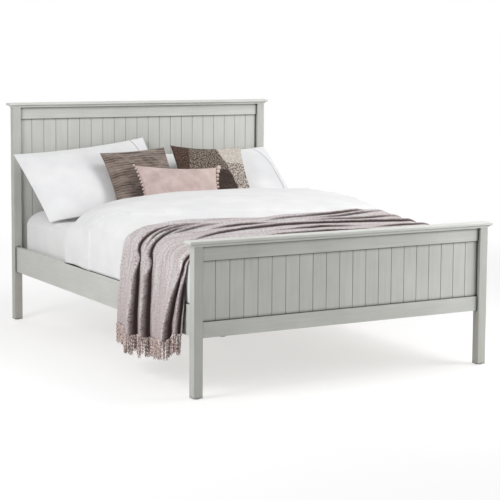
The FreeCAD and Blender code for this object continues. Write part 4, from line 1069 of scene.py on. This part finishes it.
def blow_up(piece, held):
    """Cloth simulation with air pressure and no gravity; held points stay where they are.

    The cap is soft: a move is squeezed by tanh, so that it leaves no ring on the cloth.
    """
    before = read_points(piece.data)
    group = piece.vertex_groups.new(name="seam")
    group.add(np.flatnonzero(held).tolist(), 1.0, "REPLACE")
    cloth_modifier = piece.modifiers.new("filling", "CLOTH")
    settings = cloth_modifier.settings
    settings.quality, settings.mass, settings.air_damping = 4, 0.2, 8.0
    settings.tension_stiffness = settings.compression_stiffness = 14.0
    settings.shear_stiffness, settings.bending_stiffness = 6.0, 0.25
    settings.vertex_group_mass = "seam"
    settings.use_pressure, settings.uniform_pressure_force = True, PRESSURE
    settings.effector_weights.gravity = 0.0
    cloth_modifier.collision_settings.use_collision = False
    for number in range(1, FRAMES + 1):
        bpy.context.scene.frame_set(number)
    shaped = piece.evaluated_get(bpy.context.evaluated_depsgraph_get())
    move = read_points(shaped.data) - before
    bpy.context.scene.frame_set(1)
    piece.modifiers.remove(cloth_modifier)
    piece.vertex_groups.clear()
    far = np.maximum(np.linalg.norm(move, axis=1, keepdims=True), 1e-9)
    return before + move * np.tanh(far / CAP) * CAP / far


print("cloth is blown up over", FRAMES, "frames, unless the render is a quick one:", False)

# %% [markdown]
# ## Five stuffed pieces
#
# One function makes them all: two sheets with a little random lumpiness, welded at the
# seam, blown up, brought to their given thickness, and stood in their place.

# %% Pillows and cushions
SLACK = 0.80                # thickness before the filling, as a share
LUMP, LUMP_SMALL = 0.05, 0.35   # lumps over the thickness, small lumps over large ones
LUMP_WAVE, SMALL_WAVE = 0.17, 0.06   # metres
SEAM_SHARE = 0.02           # the seam is where the case is filled less than this


def stuffed_piece(name, node, corners, drawn, thick, angle, turn, band=(0, 0), seed=1,
                  count=(96, 66)):
    """A cushion: two sheets welded at the seam, blown up, brought to a given thickness."""
    front, case, stitch = case_grid(corners, drawn, thick * SLACK, band, count)
    back = front * np.array([1, 1, -1])
    u, v = np.meshgrid(crowded_ends(count[0]), crowded_ends(count[1]), indexing="ij")
    soft = (1 - np.abs(u) ** 6) * (1 - np.abs(v) ** 6) * np.minimum(1, case[..., 2] * 2)
    for side, sign in ((front, 1), (back, -1)):
        lumps = soft_noise(side[..., 0], side[..., 1], seed + sign, LUMP_WAVE)
        lumps += LUMP_SMALL * soft_noise(side[..., 0], side[..., 1], seed + 3 * sign, SMALL_WAVE)
        side[..., 2] += sign * soft * lumps * thick * LUMP
    faces = grid_faces(count[0] + 1, count[1] + 1)
    faces = np.concatenate([faces, faces[:, ::-1] + (count[0] + 1) * (count[1] + 1)])
    piece = mesh_piece(name, np.concatenate([front, back]), faces)
    store(piece, "case", np.concatenate([case, case]))
    line = np.stack([stitch, 0 * stitch, 0 * stitch], -1)
    store(piece, "stitch", np.concatenate([line, line]))
    weld(piece)
    shape = read_points(piece.data)
    kept = np.empty(shape.size, np.float32)
    piece.data.attributes["case"].data.foreach_get("vector", kept)
    shape = blow_up(piece, kept.reshape(-1, 3)[:, 2] < SEAM_SHARE)
    shape[:, 2] *= thick / np.ptp(shape[:, 2])
    placed = stand(shape, node, angle, turn).astype(np.float32)
    piece.data.vertices.foreach_set("co", placed.ravel())
    piece.data.update()
    smoother = piece.modifiers.new("smoother", "SUBSURF")
    smoother.levels = smoother.render_levels = 1
    print(name, len(piece.data.polygons), "faces, thick", round(float(np.ptp(shape[:, 2])), 3))
    return piece


# Corners and drawn-in sides in metres, then thickness, lean and turn in degrees.
PILLOW_LEFT = stuffed_piece(
    "pillow_with_band_left", "pillow_left",
    ((-0.338, -0.222), (0.362, -0.222), (0.392, 0.242), (-0.362, 0.226)),
    (0.006, 0.004, 0.012, 0.018), 0.108, 45, 5.6, band=(0.050, 0.085), seed=31)
PILLOW_RIGHT = stuffed_piece(
    "pillow_with_band_right", "pillow_right",
    ((-0.350, -0.222), (0.366, -0.215), (0.372, 0.230), (-0.352, 0.226)),
    (0.010, -0.004, 0.012, 0.018), 0.108, 50, 2.0, band=(0.022, 0.085), seed=35)
RIBBED = stuffed_piece(
    "ribbed_cushion", "cushion_ribbed",
    ((-0.185, -0.192), (0.190, -0.192), (0.197, 0.208), (-0.173, 0.200)),
    (0.022, 0.012, 0.014, 0.012), 0.092, 36, 2.4, seed=41, count=(72, 72))
TWEED = stuffed_piece(
    "tweed_cushion", "cushion_tweed",
    ((-0.205, -0.198), (0.208, -0.198), (0.202, 0.206), (-0.212, 0.206)),
    (0.012, 0.024, 0.016, 0.024), 0.092, 36, -3.2, seed=45, count=(76, 72))
VELVET_LEAN, VELVET_TURN = 30, -3.9   # degrees
VELVET = stuffed_piece(
    "velvet_cushion", "cushion_velvet",
    ((-0.238, -0.138), (0.212, -0.138), (0.208, 0.132), (-0.250, 0.132)),
    (0.024, 0.020, 0.014, 0.018), 0.086, VELVET_LEAN, VELVET_TURN, seed=51, count=(88, 52))

# %% [markdown]
# ## Trim of the pink cushion
#
# Both ends of the pink cushion carry a row of small soft pompoms. Each is a ball whose
# radius is made uneven by a few waves, so that it looks cut from tufted yarn, and the row
# follows the drawn-in end of the case. The largest sit at the upper right corner.

# %% Pompoms
AROUND, DOWN = 14, 11   # points of a ball: few, because the balls are many
TUFT, UNEVEN_SIZE, SHRINK = 0.12, 0.25, 7
# Ends of the pink case in its own flat coordinates, in metres, and how far each is drawn in.
END_HALF = 0.130
RIGHT_END, RIGHT_DRAWN = 0.210, 0.020
LEFT_END, LEFT_SLANT, LEFT_DRAWN = -0.244, 0.006, 0.024


def pompom_row(side, count, small, large, seed):
    """Balls along one end of the pink case, largest at the top corner on the right."""
    rng = np.random.default_rng(seed)
    around, down = np.meshgrid(np.linspace(0, 2 * math.pi, AROUND + 1)[:-1],
                               np.linspace(0, math.pi, DOWN), indexing="xy")
    ball = np.stack([np.sin(down) * np.cos(around), np.sin(down) * np.sin(around),
                     np.cos(down)], -1)
    balls = []
    for number in range(count):
        share = number / (count - 1)
        v = 1 - 2 * share
        if side > 0:
            edge = RIGHT_END - RIGHT_DRAWN * (1 - v ** 2)
        else:
            edge = LEFT_END - LEFT_SLANT * v + LEFT_DRAWN * (1 - v ** 2)
        radius = small + (large - small) * np.exp(-share * SHRINK) * (side > 0)
        radius *= 0.9 + UNEVEN_SIZE * rng.random()
        tuft = 1 + TUFT * np.sin(5 * around + rng.random() * 6) * np.sin(4 * down)
        out = edge + side * radius * 0.75
        place = np.array([out, END_HALF * v, 0.006 * (rng.random() - 0.3)])
        balls.append((place + ball * radius * tuft[..., None]).reshape(-1, 3))
    return balls


def add_balls(piece, balls, placed):
    """Gives the piece a mesh that holds its old faces and the placed balls.

    Depth in the case attribute is -1 on the balls, which tells the velvet where they are.
    """
    old = piece.data
    ball_faces = grid_faces(DOWN, AROUND, wrap_columns=True)
    corners = np.empty(len(old.loops), np.int32)
    old.loops.foreach_get("vertex_index", corners)
    kept = np.empty(len(old.vertices) * 3, np.float32)
    old.attributes["case"].data.foreach_get("vector", kept)
    faces = [corners.reshape(-1, 4)] + [ball_faces + len(old.vertices) + number * AROUND * DOWN
                                        for number in range(len(balls))]
    joined = mesh_piece(piece.name + "_trimmed", np.concatenate([read_points(old), placed]),
                        np.concatenate(faces))
    flat = np.concatenate(balls)
    extra = np.stack([flat[:, 0], flat[:, 2], np.full(len(flat), -1.0)], -1)
    store(joined, "case", np.concatenate([kept.reshape(-1, 3), extra]))
    piece.data = joined.data
    bpy.data.objects.remove(joined)


balls = pompom_row(1, 13, 0.0065, 0.0125, 61) + pompom_row(-1, 15, 0.0055, 0.0055, 62)
add_balls(VELVET, balls, stand(np.concatenate(balls), "cushion_velvet", VELVET_LEAN, VELVET_TURN))
print("pink cushion with trim", len(VELVET.data.polygons), "faces")

# %% [markdown]
# ## Pillow cotton
#
# Each cloth from here on reads the case's own flat coordinates, stored on the mesh, so its
# pattern keeps to the cloth however the cushion leans. The pillows wear nearly the same
# cotton as the duvet. A second attribute holds the distance from the row of stitches, and
# the finish draws a thin grey line where that distance is near nothing.

# %% Pillow cotton
STITCH_LINE, STITCH_EDGE = 0.0012, 0.0030   # metres from the row of stitches


def case_cotton(name, dark, light):
    """White pillow cotton with a row of stitches where its band begins."""
    material = cotton(name, dark, light)
    tree = material.node_tree
    shader = tree.nodes["Principled BSDF"]
    base = shader.inputs["Base Color"].links[0].from_socket
    beyond = part_of(tree, place_vector(tree, attribute="stitch"), "X")
    near = calculate(tree, "ABSOLUTE", beyond)
    line = stretch_range(tree, near, STITCH_LINE, STITCH_EDGE, 1.0, 0.0)
    tint(tree, shader, blend_colours(tree, line, base, colour(128, 128, 130)))
    return material


PILLOW_COTTON = case_cotton("pillow_cotton", colour(229, 229, 231), colour(237, 237, 238))
print("made", PILLOW_COTTON.name)

# %% [markdown]
# ## Ribbed knit
#
# The brown cushion is a ribbed knit: wavy ridges that run across it, about 15 mm apart,
# with finer lines about 5 mm apart on each ridge. Two wave textures bent by noise draw
# both, and the same two make the relief.

# %% Ribbed knit
RIDGES, LINES = 21.0, 58.0   # scale of the wave textures


def ribbed_knit(name, dark, middle, light):
    """Wavy ridges with fine lines on them, flecked with a lighter yarn."""
    material, tree, shader = new_finish(name, 0.9, Sheen_Weight=0.2)
    flat = place_vector(tree, (0.7, 1.0, 0.0), "case")
    ridge = wave(tree, flat, RIDGES, 3.2, detail_scale=0.55)
    fine = wave(tree, flat, LINES, 4.0, detail_scale=0.5)
    grain = noise(tree, place_vector(tree, (160.0, 260.0, 0.0), "case"), 1.0, 2.0)
    cloud = noise(tree, place_vector(tree, (9.0, 30.0, 0.0), "case"), 1.0, 3.0)
    base = blend_colours(tree, stretch_range(tree, ridge, 0.05, 0.75), dark, middle)
    base = blend_colours(tree, stretch_range(tree, cloud, 0.42, 0.66, 0.0, 0.7), base, light)
    base = blend_colours(tree, stretch_range(tree, fine, 0.45, 0.05, 0.0, 0.55), base, dark)
    base = blend_colours(tree, stretch_range(tree, grain, 0.55, 0.75, 0.0, 0.5), base, light)
    tint(tree, shader, base)
    relief = calculate(tree, "ADD", calculate(tree, "ADD", ridge, fine), grain)
    emboss(tree, shader, relief, 0.7, 0.004)
    return material


RIB_CLOTH = ribbed_knit("ribbed_brown", colour(74, 57, 50), colour(138, 119, 109),
                        colour(188, 172, 160))
print("made", RIB_CLOTH.name)

# %% [markdown]
# ## Tweed patchwork
#
# The tweed cushion is sewn from patches of looped yarn: dark brown at the left end, flecked
# brown beside it, and at the right end cream over salt and pepper. Below, left of the right
# seam, the darkest part is partly a dark patch and partly painted shadow of the pink
# cushion and its pompoms. A patch is told from the next by comparing the flat coordinates
# with the seam between them; the two upright seams lean, so a share of the height is added
# or taken off for them.

# %% Tweed patchwork
SEAM_SLOPE = 0.24
LEFT_SEAM, RIGHT_SEAM = (-0.166, -0.158), (0.082, 0.088)   # metres, each from start to end
# the darkest part's upper edge: partly a patch seam, partly the edge of a painted shadow
CREAM_SEAM, PATCH_AND_SHADOW_EDGE = (0.087, 0.082), (0.040, 0.034)
FLECK_WAVES, LOOP_WAVES = 125.0, 210.0


def tweed(name):
    """Five parts of two tones each, the darkest partly painted shadow, mixed by one fleck, with
    looped relief.
    """
    material, tree, shader = new_finish(name, 0.95)
    flat = place_vector(tree, (1, 1, 0), "case")
    across, up = part_of(tree, flat, "X"), part_of(tree, flat, "Y")
    fleck = noise(tree, flat, FLECK_WAVES, 3.0, 0.75)
    sharp = stretch_range(tree, fleck, 0.46, 0.58)
    # the last pair, darkest, is partly a dark patch and partly painted shadow of the pink cushion
    brown, flecked, cream, pepper, darkest = (
        blend_colours(tree, sharp, colour(*dark), colour(*light)) for dark, light in (
            ((52, 37, 31), (100, 78, 66)), ((54, 42, 37), (158, 146, 134)),
            ((182, 173, 163), (226, 219, 209)), ((92, 80, 70), (232, 222, 212)),
            ((48, 36, 31), (84, 70, 62))))
    left = calculate(tree, "MULTIPLY_ADD", up, -SEAM_SLOPE, across)
    right = calculate(tree, "MULTIPLY_ADD", up, SEAM_SLOPE, across)
    left_part = blend_colours(tree, stretch_range(tree, left, *LEFT_SEAM), brown, flecked)
    # darkest below: partly a dark patch, partly painted shadow of the pink cushion
    left_part = blend_colours(tree, stretch_range(tree, up, *PATCH_AND_SHADOW_EDGE), left_part, darkest)
    right_part = blend_colours(tree, stretch_range(tree, up, *CREAM_SEAM), cream, pepper)
    right = stretch_range(tree, right, *RIGHT_SEAM)
    tint(tree, shader, blend_colours(tree, right, left_part, right_part))
    loops = wire(tree, "ShaderNodeTexVoronoi", {"Vector": flat, "Scale": LOOP_WAVES}).outputs[0]
    emboss(tree, shader, calculate(tree, "ADD", loops, fleck), 0.8, 0.003)
    return material


TWEED_CLOTH = tweed("tweed_patchwork")
print("made", TWEED_CLOTH.name)

# %% [markdown]
# ## Velvet
#
# Velvet shines at grazing angles, because its pile stands up. The shader's sheen does that
# by itself. Noise in two sizes adds the brushed clouds and the pile, and the trim's cream
# takes over on the pompoms and, faintly, toward the paler right end.

# %% Velvet, and all five cloths in place
def velvet(name, dark, light, trim):
    """Dusty pink velvet, paler toward its right end, with cream pompoms."""
    material, tree, shader = new_finish(name, 0.72, Sheen_Weight=0.55, Sheen_Roughness=0.35)
    flat = place_vector(tree, (1, 1, 0), "case")
    vector = place_vector(tree, attribute="case")
    cloud = stretch_range(tree, noise(tree, flat, 16.0, 4.0), 0.35, 0.65)
    pale = stretch_range(tree, part_of(tree, vector, "X"), 0.06, 0.20, 0.0, 0.55)
    ball = stretch_range(tree, part_of(tree, vector, "Z"), -0.2, -0.8)
    base = blend_colours(tree, pale, blend_colours(tree, cloud, dark, light), trim)
    tint(tree, shader, blend_colours(tree, ball, base, trim))
    emboss(tree, shader, noise(tree, flat, 700.0, 2.0), 0.25, 0.0008)
    return material


VELVET_CLOTH = velvet("pink_velvet", colour(183, 162, 158), colour(203, 183, 179),
                      colour(216, 197, 187))
for piece, node, material, slot, body, fill in (
        (PILLOW_LEFT, "pillow_left", PILLOW_COTTON, "white_cotton", "pillows", 0.7),
        (PILLOW_RIGHT, "pillow_right", PILLOW_COTTON, "white_cotton", "pillows", 0.7),
        (RIBBED, "cushion_ribbed", RIB_CLOTH, "ribbed_brown", "cushions", 0.8),
        (TWEED, "cushion_tweed", TWEED_CLOTH, "tweed_patchwork", "cushions", 0.8),
        (VELVET, "cushion_velvet", VELVET_CLOTH, "pink_velvet", "cushions", 0.8)):
    piece.data.materials.append(material)
    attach(piece, body)
    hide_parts(node)
print("cushion cloths ready")

# %% [markdown]
# ## The floor
#
# The bed stands on a plain pale floor. On camera rays, and in reflections, the floor is
# lifted to white by a weak glow of its own and fades to plain white far away, while its
# matt part still takes the bed's shadow. To all other rays it is pale paint, so that its
# glow adds no light to the bed.

# %% Floor
FLOOR_PAINT, FLOOR_MATT, FLOOR_LIFT = colour(232, 232, 232), (0.42, 0.42, 0.42, 1), 0.62
FADE_FROM, FADE_TO = 1.7, 4.2   # metres from the middle of the bed
FLOOR_REACH, FLOOR_LINES, FLOOR_DROP = 14.0, 9, 0.0005


def floor_sheet():
    """A flat grid just under the height of the glides."""
    step = np.linspace(-FLOOR_REACH, FLOOR_REACH, FLOOR_LINES)
    x, y = np.meshgrid(step, step, indexing="ij")
    return np.stack([x, y, 0 * x - FLOOR_DROP], -1)


def seen_rays(tree):
    """1 on rays that show the background: from the camera, off gloss and through glass."""
    rays = tree.nodes.new("ShaderNodeLightPath").outputs
    seen = calculate(tree, "MAXIMUM", rays["Is Camera Ray"], rays["Is Glossy Ray"])
    return calculate(tree, "MAXIMUM", seen, rays["Is Transmission Ray"])


def pale_floor():
    """Matt pale paint, lifted to white on camera rays and fading to plain white far away."""
    material, tree, shader = new_finish("floor_white", 0.95, Specular_IOR_Level=0.1)
    shader.inputs["Base Color"].default_value = FLOOR_PAINT
    matt = wire(tree, "ShaderNodeBsdfDiffuse", {"Color": FLOOR_MATT}).outputs[0]
    glow = wire(tree, "ShaderNodeEmission", {"Strength": FLOOR_LIFT}).outputs[0]
    near = wire(tree, "ShaderNodeAddShader", {0: matt, 1: glow}).outputs[0]
    distance = wire(tree, "ShaderNodeVectorMath", {0: place_vector(tree)},
                    operation="LENGTH").outputs["Value"]
    away = stretch_range(tree, distance, FADE_FROM, FADE_TO)
    white = wire(tree, "ShaderNodeEmission", {"Strength": 1.0}).outputs[0]
    faded = wire(tree, "ShaderNodeMixShader", {0: away, 1: near, 2: white}).outputs[0]
    shown = wire(tree, "ShaderNodeMixShader",
                 {0: seen_rays(tree), 1: shader.outputs[0], 2: faded})
    tree.links.new(shown.outputs[0], tree.nodes["Material Output"].inputs["Surface"])
    return material


FLOOR = mesh_piece("studio_floor", floor_sheet(), grid_faces(FLOOR_LINES, FLOOR_LINES))
FLOOR.data.materials.append(pale_floor())
print("floor reaches", FLOOR_REACH, "m each way")

# %% [markdown]
# ## Lamps
#
# Large soft lamps stand in for the windows of a studio. The strongest hangs on the left and
# lights the tops and the left sides. A weaker one from the right brightens the footboard
# toward its right end, one high above lights the pillows, and one behind the headboard
# keeps the back of the bed from going dark when it is seen from there.

# %% Lamps
def lamp(name, place, aim, wide, tall, power):
    """A rectangular area lamp at a place, turned to face a point; power is in watts."""
    data = bpy.data.lights.new(name, "AREA")
    data.shape, data.size, data.size_y = "RECTANGLE", wide, tall
    data.energy = power
    piece = bpy.data.objects.new(name, data)
    bpy.context.collection.objects.link(piece)
    piece.location = place
    piece.rotation_euler = (Vector(aim) - Vector(place)).to_track_quat("-Z", "Y").to_euler()


lamp("key_left", (-3.2, -1.0, 2.2), (0.0, -0.5, 0.45), 1.3, 2.0, 70)
lamp("fill_right", (2.0, -2.0, 1.3), (0.8, -0.9, 0.5), 1.3, 1.3, 34)
lamp("fill_head", (1.6, -0.6, 3.3), (0.2, 0.4, 0.6), 1.6, 1.6, 42)
lamp("fill_back", (-0.6, 3.4, 1.9), (0.0, 1.0, 0.6), 1.8, 1.2, 22)
print(len(bpy.data.lights), "lamps")

# %% [markdown]
# ## The world
#
# An even world fills the shadows from all sides. Its strength is low for the light that
# falls on the bed, and 1, plain white, for the rays that show it as background.

# %% World
WORLD_LIGHT = 0.29
world = bpy.data.worlds.new("studio")
bpy.context.scene.world = world
world.use_nodes = True
tree = world.node_tree
tree.nodes.clear()
level = stretch_range(tree, seen_rays(tree), 0, 1, WORLD_LIGHT, 1.0)
back = wire(tree, "ShaderNodeBackground", {"Color": (1, 1, 1, 1), "Strength": level})
end = tree.nodes.new("ShaderNodeOutputWorld")
tree.links.new(back.outputs[0], end.inputs["Surface"])
bpy.context.scene.view_settings.view_transform = "Standard"
print("world light", WORLD_LIGHT)

# %% The end
bpy.context.view_layer.update()
